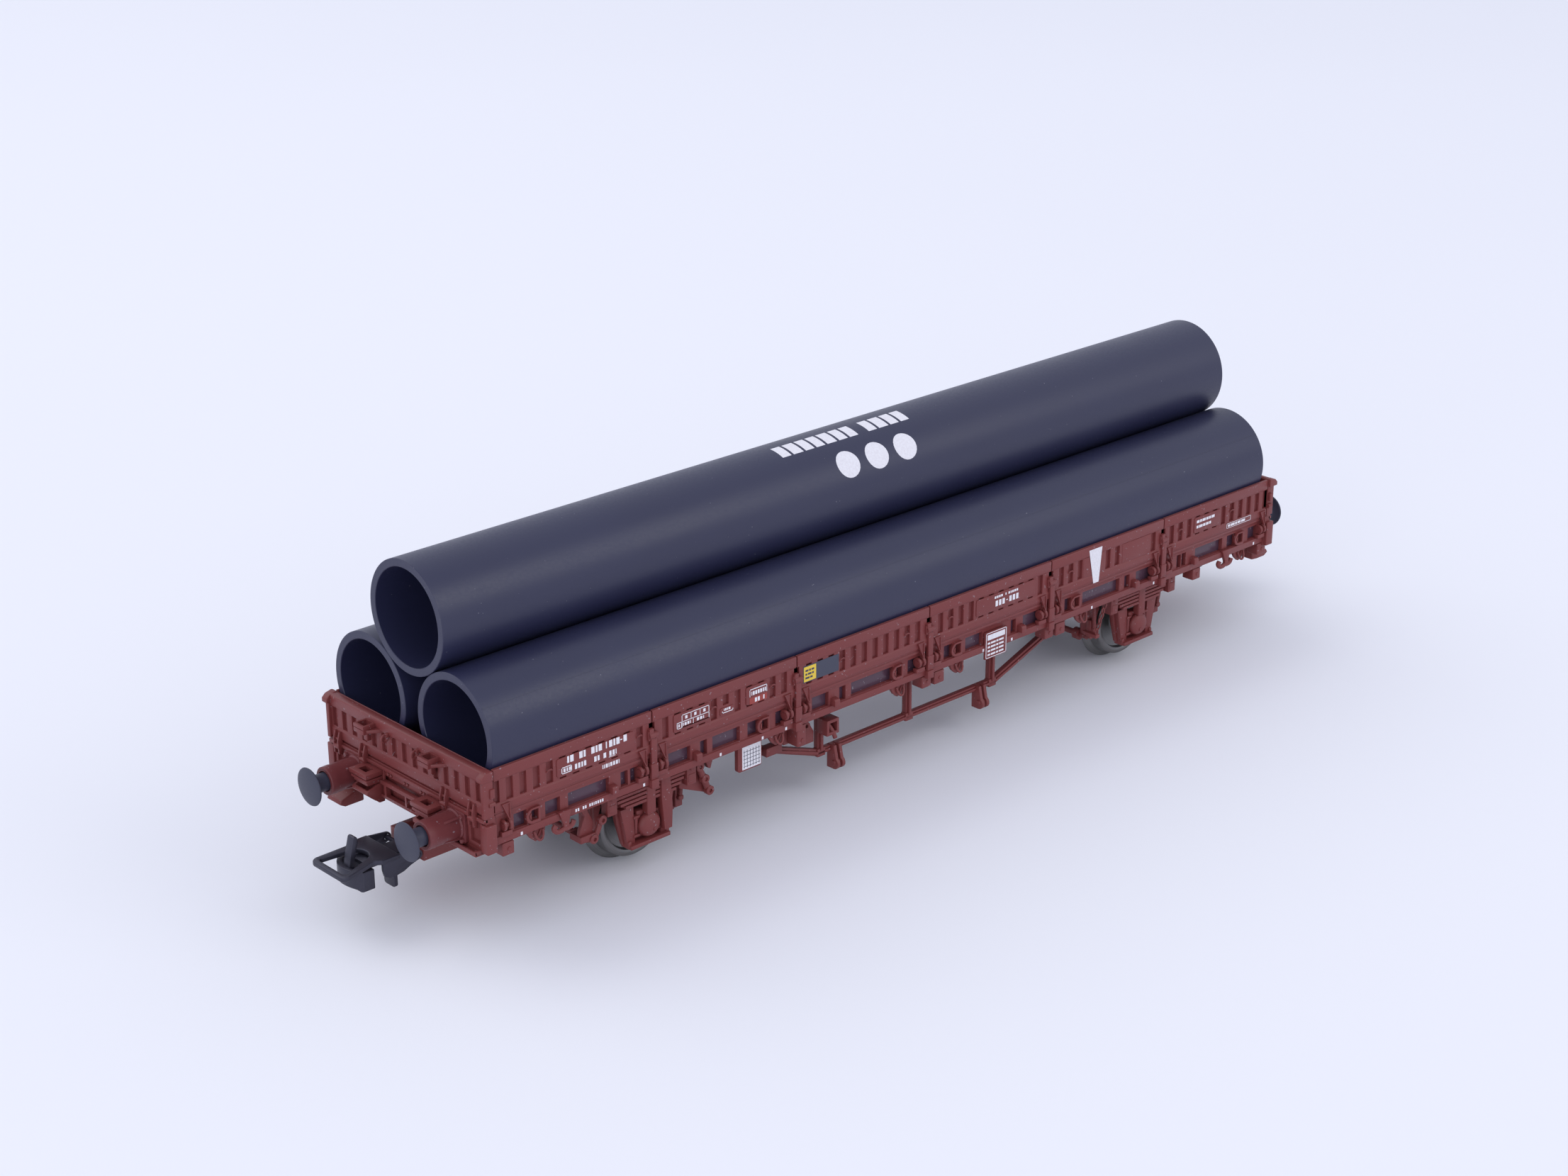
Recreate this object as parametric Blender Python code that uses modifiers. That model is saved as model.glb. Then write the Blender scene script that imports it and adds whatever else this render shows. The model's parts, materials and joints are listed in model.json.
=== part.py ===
"""Model flat car: a two-axle H0 drop-side wagon that carries three large pipes.

The script clears the scene and builds every piece as its own named object in
the collection "model_flat_car". Metres, +Z up. X runs along the wagon, with
its front end at -X, and -Y is the left side. The origin lies on the ground
midway between the axles. Sizes below are written in millimetres times MM.
"""

import math

import bmesh
import bpy
from mathutils import Matrix

MM = 0.001
GAP = 0.05 * MM

# Driving dimensions
LENGTH_OVER_BUFFERS = 159.3 * MM
WHEELBASE = 92.0 * MM
DECK_TOP = 17.9 * MM
DECK_THICKNESS = 0.95 * MM
FRAME_TOP = DECK_TOP - DECK_THICKNESS - GAP
FRAME_BOTTOM = 13.6 * MM
BODY_HALF_LENGTH = 71.2 * MM
BODY_HALF_WIDTH = 15.6 * MM
WALL_INNER = 15.0 * MM
SIDE_TOP = 22.4 * MM
PANELS_PER_SIDE = 6
PANEL_GAP = 0.2 * MM

WHEEL_FLANGE_RADIUS = 6.3 * MM
WHEEL_TREAD_RADIUS = 5.35 * MM
WHEEL_BACK = 7.2 * MM
WHEEL_FACE = 10.1 * MM
AXLE_RADIUS = 0.9 * MM
AXLE_TIP = 12.4 * MM

WEIGHT_BOTTOM = 13.0 * MM
WEIGHT_TOP = 15.0 * MM
WEIGHT_HALF_WIDTH = 12.3 * MM

GUARD_INNER = 11.2 * MM
GUARD_OUTER = 11.85 * MM
SPRING_INNER = 12.35 * MM

BUFFER_SPACING = 9.8 * MM
BUFFER_HEIGHT = 14.4 * MM
BUFFER_HEAD_RADIUS = 2.4 * MM
BUFFER_SHANK_RADIUS = 1.15 * MM
HEADSTOCK_FACE = 72.3 * MM

COUPLER_PIVOT = 62.0 * MM
COUPLER_HEIGHT = 8.2 * MM
LOOP_PIVOT = 73.5 * MM
LOOP_TIP = 84.1 * MM
POCKET_NOSE = 72.7 * MM
SOCKET_DEPTH = 4.6 * MM

PIPE_RADIUS = 7.12 * MM
PIPE_BORE = 6.12 * MM
PIPE_HALF_LENGTH = 70.4 * MM
PIPE_SHIFT = -0.55 * MM
PIPE_SPACING = 8.35 * MM

SIDES = {"left": -1.0, "right": 1.0}
ENDS = {"front": -1.0, "rear": 1.0}

MATERIALS = {
    "red_brown": ((0.115, 0.032, 0.036), 0.55, 0.0),
    "pipe_black": ((0.060, 0.062, 0.105), 0.45, 0.0),
    "wheel_metal": ((0.160, 0.150, 0.140), 0.38, 0.9),
    "coupler_metal": ((0.052, 0.052, 0.066), 0.45, 0.6),
    "buffer_black": ((0.060, 0.066, 0.100), 0.50, 0.0),
    "ballast_steel": ((0.330, 0.320, 0.340), 0.35, 1.0),
}


def clear_scene():
    """Remove every object, collection and material that is already there."""
    for item in list(bpy.data.objects):
        bpy.data.objects.remove(item, do_unlink=True)
    for group in list(bpy.data.collections):
        bpy.data.collections.remove(group)
    for finish in list(bpy.data.materials):
        bpy.data.materials.remove(finish)


def make_collection(name):
    """Link a new collection to the scene."""
    group = bpy.data.collections.new(name)
    bpy.context.scene.collection.children.link(group)
    return group


def make_material(name):
    """Make one Principled material from the MATERIALS table."""
    colour, roughness, metallic = MATERIALS[name]
    finish = bpy.data.materials.new(name)
    finish.use_nodes = True
    shader = finish.node_tree.nodes["Principled BSDF"]
    shader.inputs["Base Color"].default_value = (*colour, 1.0)
    shader.inputs["Roughness"].default_value = roughness
    shader.inputs["Metallic"].default_value = metallic
    return finish


def place(name, mesh, slot, matrix=None):
    """Turn a mesh into a named part of the wagon with its own material."""
    item = bpy.data.objects.new(name, mesh)
    item.matrix_world = matrix or Matrix.Identity(4)
    finish = make_material(slot)
    finish.name = f"{slot}_{name}"
    mesh.materials.append(finish)
    parts.objects.link(item)
    return item


def keep_as_tool(item):
    """Move an object to the cutters, where it only shapes another piece."""
    for group in list(item.users_collection):
        group.objects.unlink(item)
    cutters.objects.link(item)
    item.hide_render = True
    item.display_type = "WIRE"


def combine(target, tool, operation):
    """Join a tool object to the target, or cut it out of the target."""
    step = target.modifiers.new(f"{operation.lower()}_{tool.name}", "BOOLEAN")
    step.object = tool
    step.operation = operation
    step.solver = "EXACT"
    keep_as_tool(tool)


def mesh_from_bmesh(name, shape):
    """Write a bmesh to a new mesh with its faces pointing outwards."""
    bmesh.ops.recalc_face_normals(shape, faces=shape.faces)
    mesh = bpy.data.meshes.new(name)
    shape.to_mesh(mesh)
    shape.free()
    return mesh


def box(name, low, high, slot, bevel=0.0):
    """Make a box between two corners, with an optional bevel on its edges."""
    shape = bmesh.new()
    bmesh.ops.create_cube(shape, size=1.0)
    size = [high[i] - low[i] for i in range(3)]
    bmesh.ops.scale(shape, vec=size, verts=shape.verts)
    item = place(name, mesh_from_bmesh(name, shape), slot)
    item.location = [(low[i] + high[i]) / 2 for i in range(3)]
    if bevel:
        edge = item.modifiers.new("edges", "BEVEL")
        edge.width = bevel
        edge.segments = 1
    return item


def centred_box(name, centre, size, slot, bevel=0.0):
    """Make a box from its centre and its full size."""
    low = [centre[i] - size[i] / 2 for i in range(3)]
    high = [centre[i] + size[i] / 2 for i in range(3)]
    return box(name, low, high, slot, bevel)


def across_width(y_centre):
    """Matrix that lays a drawing of (x, z) points across the wagon's width."""
    return Matrix.Translation((0, y_centre, 0)) @ Matrix.Rotation(math.pi / 2, 4, "X")


def along_length(x_centre):
    """Matrix that lays a drawing of (y, z) points across the wagon's length."""
    turn = Matrix(((0, 0, 1, 0), (1, 0, 0, 0), (0, 1, 0, 0), (0, 0, 0, 1)))
    return Matrix.Translation((x_centre, 0, 0)) @ turn


def flat(z_centre):
    """Matrix that lays a drawing of (x, y) points level at a height."""
    return Matrix.Translation((0, 0, z_centre))


def plate(name, outlines, thickness, matrix, slot):
    """Extrude flat outlines: the first is the outside, the others are holes."""
    curve = bpy.data.curves.new(name, "CURVE")
    curve.dimensions = "2D"
    curve.fill_mode = "BOTH"
    curve.extrude = thickness / 2
    for outline in outlines:
        spline = curve.splines.new("POLY")
        spline.points.add(len(outline) - 1)
        for point, (u, v) in zip(spline.points, outline):
            point.co = (u, v, 0, 1)
        spline.use_cyclic_u = True
    drawing = bpy.data.objects.new(name + "_drawing", curve)
    parts.objects.link(drawing)
    bpy.context.view_layer.update()
    depsgraph = bpy.context.evaluated_depsgraph_get()
    raw = bpy.data.meshes.new_from_object(drawing.evaluated_get(depsgraph))
    bpy.data.objects.remove(drawing, do_unlink=True)
    shape = bmesh.new()
    shape.from_mesh(raw)
    bmesh.ops.remove_doubles(shape, verts=shape.verts, dist=1e-6)
    bpy.data.meshes.remove(raw)
    return place(name, mesh_from_bmesh(name, shape), slot, matrix)


def turned(name, profile, steps, matrix, slot):
    """Turn a profile of (radius, height) points about the local Z axis."""
    mesh = bpy.data.meshes.new(name)
    points = [(radius, 0, height) for radius, height in profile]
    edges = [(i, i + 1) for i in range(len(points) - 1)]
    if profile[0][0] > 0:
        edges.append((len(points) - 1, 0))
    mesh.from_pydata(points, edges, [])
    item = place(name, mesh, slot, matrix)
    spin = item.modifiers.new("turning", "SCREW")
    spin.steps = steps
    spin.render_steps = steps
    spin.use_merge_vertices = True
    spin.merge_threshold = 1e-7
    spin.use_smooth_shade = True
    return item


def tube_axis(x, y, z, direction):
    """Matrix that points the local Z axis along +X or -X from a place."""
    turn = Matrix.Rotation(direction * math.pi / 2, 4, "Y")
    return Matrix.Translation((x, y, z)) @ turn


def cross_axis(x, y, z, direction):
    """Matrix that points the local Z axis along +Y or -Y from a place."""
    turn = Matrix.Rotation(-direction * math.pi / 2, 4, "X")
    return Matrix.Translation((x, y, z)) @ turn


def arc(centre, radius, start, stop, count):
    """Points on an arc in degrees, with both ends included."""
    angles = [math.radians(start + (stop - start) * i / count) for i in range(count + 1)]
    return [(centre[0] + radius * math.cos(a), centre[1] + radius * math.sin(a)) for a in angles]


def mirrored(points, sign):
    """Flip the first coordinate of an outline when the sign is negative."""
    return [(sign * u, v) for u, v in points]


def build_deck():
    """Deck plate, the tray below it and the steel weight under the tray."""
    deck_half = BODY_HALF_LENGTH - 4 * GAP
    deck_width = WALL_INNER - 2 * GAP
    deck_low = (-deck_half, -deck_width, DECK_TOP - DECK_THICKNESS)
    box("floor_deck", deck_low, (deck_half, deck_width, DECK_TOP), "red_brown")
    tray_width = 13.8 * MM
    tray_half = 70.9 * MM
    tray_low = (-tray_half, -tray_width, WEIGHT_TOP + GAP)
    box("underframe_tray", tray_low, (tray_half, tray_width, FRAME_TOP), "red_brown")
    weight_half = 69.0 * MM
    weight_low = (-weight_half, -WEIGHT_HALF_WIDTH, WEIGHT_BOTTOM)
    weight_high = (weight_half, WEIGHT_HALF_WIDTH, WEIGHT_TOP)
    box("ballast_weight", weight_low, weight_high, "ballast_steel", bevel=0.2 * MM)


def build_sole_bar(side, sign):
    """Side member of the frame, a ladder with four windows below each panel."""
    inner, outer, half = 13.85 * MM, 15.4 * MM, 70.85 * MM
    y_low, y_high = sorted((sign * inner, sign * outer))
    bar_low = (-half, y_low, FRAME_BOTTOM)
    bar = box(f"sole_bar_{side}", bar_low, (half, y_high, FRAME_TOP), "red_brown")
    pitch = 2 * BODY_HALF_LENGTH / PANELS_PER_SIDE
    bays = ((3.0, 1.7), (7.6, 2.0), (11.2, 5.8), (19.0, 2.8))
    window_low, window_high = 14.3 * MM, 15.9 * MM
    for panel in range(PANELS_PER_SIDE):
        for number, (start, width) in enumerate(bays):
            x_low = -BODY_HALF_LENGTH + panel * pitch + start * MM
            name = f"window_{side}_{panel}_{number}"
            low = (x_low, y_low - MM, window_low)
            high = (x_low + width * MM, y_high + MM, window_high)
            combine(bar, box(name, low, high, "red_brown"), "DIFFERENCE")
    for number in range(1, PANELS_PER_SIDE):
        x = -BODY_HALF_LENGTH + number * pitch
        build_side_post(bar, f"{side}_{number}", x, sign)


def build_side_post(bar, name, x, sign):
    """Post between two panels: a socket on the sole bar and a strap in front of the wall."""
    half, face = 0.65 * MM, 16.1 * MM
    socket_root, socket_foot, socket_top = 15.2 * MM, 12.9 * MM, 16.7 * MM
    y_low, y_high = sorted((sign * socket_root, sign * face))
    low = (x - half, y_low, socket_foot)
    socket = box(f"post_socket_{name}", low, (x + half, y_high, socket_top), "red_brown")
    combine(bar, socket, "UNION")
    strap_root, strap_top = BODY_HALF_WIDTH + GAP, 20.1 * MM
    y_low, y_high = sorted((sign * strap_root, sign * (face - 0.1 * MM)))
    low = (x - half + 0.1 * MM, y_low, socket_top - 0.3 * MM)
    strap = box(f"post_strap_{name}", low, (x + half - 0.1 * MM, y_high, strap_top), "red_brown")
    combine(bar, strap, "UNION")


def build_headstock(end, sign):
    """End member of the frame, with a channel between the buffers and one foot step."""
    inner = 70.95 * MM
    x_low, x_high = sorted((sign * inner, sign * HEADSTOCK_FACE))
    half, bottom = 15.45 * MM, 12.4 * MM
    bar = box(f"headstock_{end}", (x_low, -half, bottom), (x_high, half, FRAME_TOP), "red_brown")
    channel_centre = (sign * HEADSTOCK_FACE, 0, 14.6 * MM)
    channel = centred_box(f"channel_{end}", channel_centre, (1.2 * MM, 14.0 * MM, 2.6 * MM), "red_brown")
    combine(bar, channel, "DIFFERENCE")
    step_y = -sign * 12.2 * MM
    strut_centre = (sign * 71.5 * MM, step_y, 10.8 * MM)
    strut = centred_box(f"step_strut_{end}", strut_centre, (0.8 * MM, 1.8 * MM, 4.0 * MM), "red_brown")
    combine(bar, strut, "UNION")
    tread_centre = (sign * 73.0 * MM, step_y, 8.9 * MM)
    tread = centred_box(f"step_tread_{end}", tread_centre, (4.2 * MM, 3.2 * MM, 0.6 * MM), "red_brown")
    combine(bar, tread, "UNION")


def wall_profile(inner, outer, plate_face):
    """Section of a drop side: foot, lower rail, thin plate and round top rail."""
    foot = FRAME_TOP + GAP
    rail_low, rail_high = 17.25 * MM, 18.6 * MM
    top_low = 21.2 * MM
    return [
        (inner, foot), (plate_face, foot), (plate_face, rail_low), (outer, rail_low),
        (outer, rail_high - 0.2 * MM), (plate_face, rail_high), (plate_face, top_low),
        (outer, top_low + 0.1 * MM), (outer, SIDE_TOP - 0.35 * MM), (outer - 0.2 * MM, SIDE_TOP),
        (inner + 0.15 * MM, SIDE_TOP), (inner, SIDE_TOP - 0.15 * MM),
    ]


def build_side_panels(side, sign):
    """Six drop-side panels in a row, each with a rail at its top and bottom."""
    half = BODY_HALF_LENGTH - GAP
    pitch = 2 * half / PANELS_PER_SIDE
    profile = mirrored(wall_profile(WALL_INNER, BODY_HALF_WIDTH, 15.4 * MM), sign)
    for number in range(PANELS_PER_SIDE):
        x_centre = -half + (number + 0.5) * pitch
        name = f"side_panel_{side}_{number + 1}"
        plate(name, [profile], pitch - PANEL_GAP, along_length(x_centre), "red_brown")


def build_end_board(end, sign):
    """End wall with the same rails as the sides."""
    profile = mirrored(wall_profile(BODY_HALF_LENGTH, 72.45 * MM, 72.0 * MM), sign)
    plate(f"end_board_{end}", [profile], 2 * BODY_HALF_WIDTH, across_width(0), "red_brown")


def build_axle_guard(name, x, sign):
    """Forked guard plate below the frame, with a ledge that ties its legs."""
    foot, ledge_low = 4.3 * MM, 3.7 * MM
    outline = [(-5.3, 12.95), (-4.4, 8.6), (-3.3, 4.0), (3.3, 4.0), (4.4, 8.6), (5.3, 12.95)]
    opening = [(-1.95, 9.2), (-2.5, 4.6), (2.5, 4.6), (1.95, 9.2)]
    shapes = [[(x + u * MM, v * MM) for u, v in line] for line in (outline, opening)]
    middle = (GUARD_INNER + GUARD_OUTER) / 2
    thickness = GUARD_OUTER - GUARD_INNER
    guard = plate(f"axle_guard_{name}", shapes, thickness, across_width(sign * middle), "red_brown")
    ledge_outer = 12.85 * MM
    y_low, y_high = sorted((sign * (GUARD_INNER + 0.1 * MM), sign * ledge_outer))
    reach = 3.15 * MM
    ledge = box(f"tie_ledge_{name}", (x - reach, y_low, ledge_low), (x + reach, y_high, foot), "red_brown")
    combine(guard, ledge, "UNION")


def build_axle_box(name, x, sign):
    """Leaf spring with its end blocks and strap, joined to the axle box."""
    leaves = [
        (-6.2, 12.4), (-6.2, 11.0), (-4.6, 10.0), (-2.6, 9.4),
        (2.6, 9.4), (4.6, 10.0), (6.2, 11.0), (6.2, 12.4),
    ]
    depth = 1.0 * MM
    middle = sign * (SPRING_INNER + depth / 2)
    points = [(x + u * MM, v * MM) for u, v in leaves]
    spring = plate(f"spring_and_axle_box_{name}", [points], depth, across_width(middle), "red_brown")
    shackle_size = (1.5 * MM, 1.3 * MM, 3.1 * MM)
    for number, shift in enumerate((-6.3 * MM, 6.3 * MM)):
        centre = (x + shift, sign * 13.05 * MM, 11.2 * MM)
        shackle = centred_box(f"shackle_{name}_{number}", centre, shackle_size, "red_brown")
        combine(spring, shackle, "UNION")
    strap_centre = (x, sign * 12.95 * MM, 10.0 * MM)
    strap = centred_box(f"strap_{name}", strap_centre, (1.5 * MM, 1.1 * MM, 4.4 * MM), "red_brown")
    combine(spring, strap, "UNION")
    block_low, block_high = sorted((sign * (GUARD_INNER + 0.05 * MM), sign * 12.7 * MM))
    block_bottom, block_top = WHEEL_FLANGE_RADIUS - 1.5 * MM, WHEEL_FLANGE_RADIUS + 2.0 * MM
    low = (x - 1.6 * MM, block_low, block_bottom)
    high = (x + 1.6 * MM, block_high, block_top)
    combine(spring, box(f"bearing_block_{name}", low, high, "red_brown"), "UNION")
    cap = [(0.0, 1.75), (0.7, 1.65), (1.3, 1.2), (1.65, 0.5), (1.65, 0.0), (0.0, 0.0)]
    cap_points = [(radius * MM, height * MM) for radius, height in cap]
    cap_place = cross_axis(x, sign * 11.7 * MM, WHEEL_FLANGE_RADIUS, sign)
    combine(spring, turned(f"box_cap_{name}", cap_points, 16, cap_place, "red_brown"), "UNION")
    cone = [(0.0, 1.35), (0.2, 1.3), (1.1, -0.2), (0.0, -0.2)]
    cone_points = [(radius * MM, height * MM) for radius, height in cone]
    cone_place = cross_axis(x, sign * (GUARD_INNER + 0.05 * MM), WHEEL_FLANGE_RADIUS, sign)
    combine(spring, turned(f"bearing_cone_{name}", cone_points, 16, cone_place, "red_brown"), "DIFFERENCE")


def build_brake_gear(name, x, sign):
    """Brake hanger that straddles one wheel, with a shoe on each side."""
    gap_radius = WHEEL_TREAD_RADIUS + 0.35 * MM
    centre = (x, WHEEL_FLANGE_RADIUS)
    bar_low, bar_high = 12.2 * MM, 12.95 * MM
    reach = 7.3 * MM
    right_shoe = arc(centre, gap_radius, -22, 30, 5)
    left_shoe = arc(centre, gap_radius, 150, 202, 5)
    shoe_foot = 3.6 * MM
    outline = [(x + reach, bar_high), (x - reach, bar_high), (x - reach, shoe_foot)]
    outline += list(reversed(left_shoe))
    outline += [(x - 6.3 * MM, bar_low), (x + 6.3 * MM, bar_low)]
    outline += list(reversed(right_shoe))
    outline += [(x + reach, shoe_foot)]
    plate(f"brake_gear_{name}", [outline], 1.5 * MM, across_width(sign * 9.05 * MM), "red_brown")


def build_wheelset(end, x):
    """Two flanged wheels on an axle with needle ends."""
    bore = AXLE_RADIUS + GAP
    section = [
        (1.7 * MM, WHEEL_FACE - 0.2 * MM), (1.9 * MM, 9.1 * MM), (4.2 * MM, 9.3 * MM), (4.5 * MM, WHEEL_FACE),
        (WHEEL_TREAD_RADIUS - 0.1 * MM, WHEEL_FACE), (WHEEL_TREAD_RADIUS, 8.2 * MM),
        (WHEEL_FLANGE_RADIUS - 0.15 * MM, 7.8 * MM), (WHEEL_FLANGE_RADIUS, 7.55 * MM),
        (WHEEL_FLANGE_RADIUS - 0.2 * MM, WHEEL_BACK), (bore, WHEEL_BACK), (bore, WHEEL_FACE - 0.2 * MM),
    ]
    for side, sign in SIDES.items():
        matrix = cross_axis(x, 0, WHEEL_FLANGE_RADIUS, sign)
        turned(f"wheel_{end}_{side}", section, 32, matrix, "wheel_metal")
    half = [(0.0, AXLE_TIP), (0.15 * MM, AXLE_TIP), (AXLE_RADIUS, AXLE_TIP - 1.2 * MM)]
    shaft = half + [(radius, -height) for radius, height in reversed(half)]
    turned(f"axle_{end}", shaft, 20, cross_axis(x, 0, WHEEL_FLANGE_RADIUS, 1.0), "wheel_metal")


def build_buffer(name, end_sign, side_sign):
    """Fixed buffer housing and the sprung head that slides in it."""
    y = side_sign * BUFFER_SPACING
    root, mouth, bottom = HEADSTOCK_FACE + GAP, 77.3 * MM, 73.3 * MM
    bore = BUFFER_SHANK_RADIUS + 0.08 * MM
    housing = [
        (0.0, bottom), (bore, bottom), (bore, mouth), (1.7 * MM, mouth), (1.8 * MM, mouth - 0.15 * MM),
        (1.8 * MM, 73.4 * MM), (2.15 * MM, 73.1 * MM), (2.15 * MM, root), (0.0, root),
    ]
    matrix = tube_axis(0, y, BUFFER_HEIGHT, end_sign)
    turned(f"buffer_housing_{name}", housing, 20, matrix, "red_brown")
    face = LENGTH_OVER_BUFFERS / 2
    head = [
        (0.0, face), (1.9 * MM, face), (BUFFER_HEAD_RADIUS, face - 0.2 * MM),
        (BUFFER_HEAD_RADIUS, face - 0.4 * MM), (BUFFER_SHANK_RADIUS, face - 0.65 * MM),
        (BUFFER_SHANK_RADIUS, 74.7 * MM), (0.0, 74.7 * MM),
    ]
    turned(f"buffer_head_{name}", head, 24, matrix, "buffer_black")


def build_truss(side, sign):
    """Strut frame under the sole bar: a low bar, three posts and two raking ends."""
    top, bar_low, bar_high = 12.95 * MM, 5.5 * MM, 6.3 * MM
    post, post_half, knee = 16.2 * MM, 0.5 * MM, 16.9 * MM
    slope = 0.375
    run = (top - bar_low) / slope
    rake = 2.3 * MM
    half = [
        (knee, bar_low), (knee + run, top), (knee + run - rake, top), (post + post_half, bar_high + 0.1 * MM),
        (post + post_half, top), (post - post_half, top), (post - post_half, bar_high),
        (post_half, bar_high), (post_half, top),
    ]
    outline = half + [(-u, v) for u, v in reversed(half)]
    thickness = 0.75 * MM
    frame = plate(f"truss_{side}", [outline], thickness, across_width(sign * 11.6 * MM), "red_brown")
    cheek_shift = 0.45 * MM
    cheek_size = (0.5 * MM, 2.1 * MM, 3.3 * MM)
    for number, x in enumerate((-13.7 * MM, 13.7 * MM)):
        for cheek, shift in enumerate((-cheek_shift, cheek_shift)):
            centre = (x + shift, sign * 12.35 * MM, 4.7 * MM)
            name = f"cheek_{side}_{number}_{cheek}"
            combine(frame, centred_box(name, centre, cheek_size, "red_brown"), "UNION")


def build_coupler_pocket(end, sign):
    """Block and pivot pin under the frame, and the pocket that swings on the pin."""
    mount_centre = (sign * COUPLER_PIVOT, 0, 11.2 * MM)
    mount = centred_box(f"coupler_mount_{end}", mount_centre, (6.0 * MM, 6.0 * MM, 3.5 * MM), "red_brown")
    pin = [(0.0, 3.2), (0.9, 3.2), (0.9, 0.45), (1.5, 0.45), (1.5, 0.0), (0.0, 0.0)]
    pin_points = [(radius * MM, height * MM) for radius, height in pin]
    pin_place = Matrix.Translation((sign * COUPLER_PIVOT, 0, 6.5 * MM))
    combine(mount, turned(f"pivot_pin_{end}", pin_points, 16, pin_place, "red_brown"), "UNION")

    pocket_low, pocket_high = 7.05 * MM, 9.35 * MM
    middle = (pocket_low + pocket_high) / 2
    tail, width = 60.2 * MM, 3.3 * MM
    outside = [
        (POCKET_NOSE, -width), (POCKET_NOSE, width), (tail + MM, width), (tail, 1.8 * MM),
        (tail, -1.8 * MM), (tail + MM, -width),
    ]
    hole = arc((COUPLER_PIVOT, 0), 1.0 * MM, 0, 360 - 22.5, 15)
    shapes = [mirrored(outside, sign), mirrored(hole, sign)]
    pocket = plate(f"coupler_pocket_{end}", shapes, pocket_high - pocket_low, flat(middle), "red_brown")
    overrun = 0.5 * MM
    socket_centre = (sign * (POCKET_NOSE + overrun - (SOCKET_DEPTH + overrun) / 2), 0, COUPLER_HEIGHT)
    socket_size = (SOCKET_DEPTH + overrun, 3.2 * MM, 1.2 * MM)
    socket = centred_box(f"socket_{end}", socket_centre, socket_size, "red_brown")
    combine(pocket, socket, "DIFFERENCE")


def build_coupler_hook(end, sign):
    """Shank, curved shield, upright hook blade, release tab and the loop's pin."""
    shank_low, shank_high = sorted((sign * (POCKET_NOSE - SOCKET_DEPTH + 0.2 * MM), sign * 79.6 * MM))
    low = (shank_low, -1.5 * MM, COUPLER_HEIGHT - 0.5 * MM)
    high = (shank_high, 1.5 * MM, COUPLER_HEIGHT + 0.25 * MM)
    hook = box(f"coupler_hook_{end}", low, high, "coupler_metal")
    front = arc((78.4 * MM, 0), 3.6 * MM, -48, 48, 8)
    back = arc((78.4 * MM, 0), 3.0 * MM, 48, -48, 8)
    shield = plate(f"shield_{end}", [mirrored(front + back, sign)], 4.2 * MM, flat(6.2 * MM), "coupler_metal")
    combine(hook, shield, "UNION")
    web_centre = (sign * 80.2 * MM, 0, 7.6 * MM)
    web = centred_box(f"shield_web_{end}", web_centre, (2.6 * MM, 1.6 * MM, 0.8 * MM), "coupler_metal")
    combine(hook, web, "UNION")
    blade = [(-81.5, 7.3), (-80.7, 7.3), (-79.9, 11.6), (-80.5, 11.9)]
    blade_points = mirrored([(u * MM, v * MM) for u, v in blade], -sign)
    combine(hook, plate(f"blade_{end}", [blade_points], 1.2 * MM, across_width(0), "coupler_metal"), "UNION")
    tab_centre = (sign * 75.3 * MM, 0, 5.8 * MM)
    tab = centred_box(f"release_tab_{end}", tab_centre, (0.5 * MM, 2.2 * MM, 4.3 * MM), "coupler_metal")
    combine(hook, tab, "UNION")
    cross = [(0.0, 3.45), (0.3, 3.45), (0.3, -3.45), (0.0, -3.45)]
    cross_points = [(radius * MM, height * MM) for radius, height in cross]
    cross_place = cross_axis(sign * LOOP_PIVOT, 0, COUPLER_HEIGHT, 1.0)
    combine(hook, turned(f"loop_pin_{end}", cross_points, 10, cross_place, "coupler_metal"), "UNION")


def build_coupler_loop(end, sign):
    """Bow with its window, its top plate and two cheeks that hang on the pin."""
    rear, plate_front = 76.1 * MM, 78.6 * MM
    outer = [
        (rear, -3.4 * MM), (plate_front, -3.4 * MM), (79.4 * MM, -2.8 * MM),
        (LOOP_TIP - 0.3 * MM, -3.4 * MM), (LOOP_TIP, -3.1 * MM),
    ]
    outer += [(u, -v) for u, v in reversed(outer)]
    window_front = LOOP_TIP - 0.75 * MM
    window = arc((80.3 * MM, 0), 1.8 * MM, 90, 270, 8)
    window += [(window_front, -2.6 * MM), (window_front, 2.6 * MM)]
    loop_low, loop_high = 8.6 * MM, 9.2 * MM
    shapes = [mirrored(outer, sign), mirrored(window, sign)]
    level = flat((loop_low + loop_high) / 2)
    loop = plate(f"coupler_loop_{end}", shapes, loop_high - loop_low, level, "coupler_metal")
    cheek = arc((LOOP_PIVOT, COUPLER_HEIGHT), 0.62 * MM, 100, 270, 8)
    cheek_top = loop_high - 0.1 * MM
    cheek += [(77.6 * MM, 7.2 * MM), (78.5 * MM, 8.0 * MM), (78.5 * MM, cheek_top), (rear, cheek_top)]
    eye = arc((LOOP_PIVOT, COUPLER_HEIGHT), 0.36 * MM, 0, 360 - 36, 9)
    for side, side_sign in SIDES.items():
        shapes = [mirrored(cheek, sign), mirrored(eye, sign)]
        name = f"loop_cheek_{end}_{side}"
        cheek_place = across_width(side_sign * 3.15 * MM)
        combine(loop, plate(name, shapes, 0.4 * MM, cheek_place, "coupler_metal"), "UNION")


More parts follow.
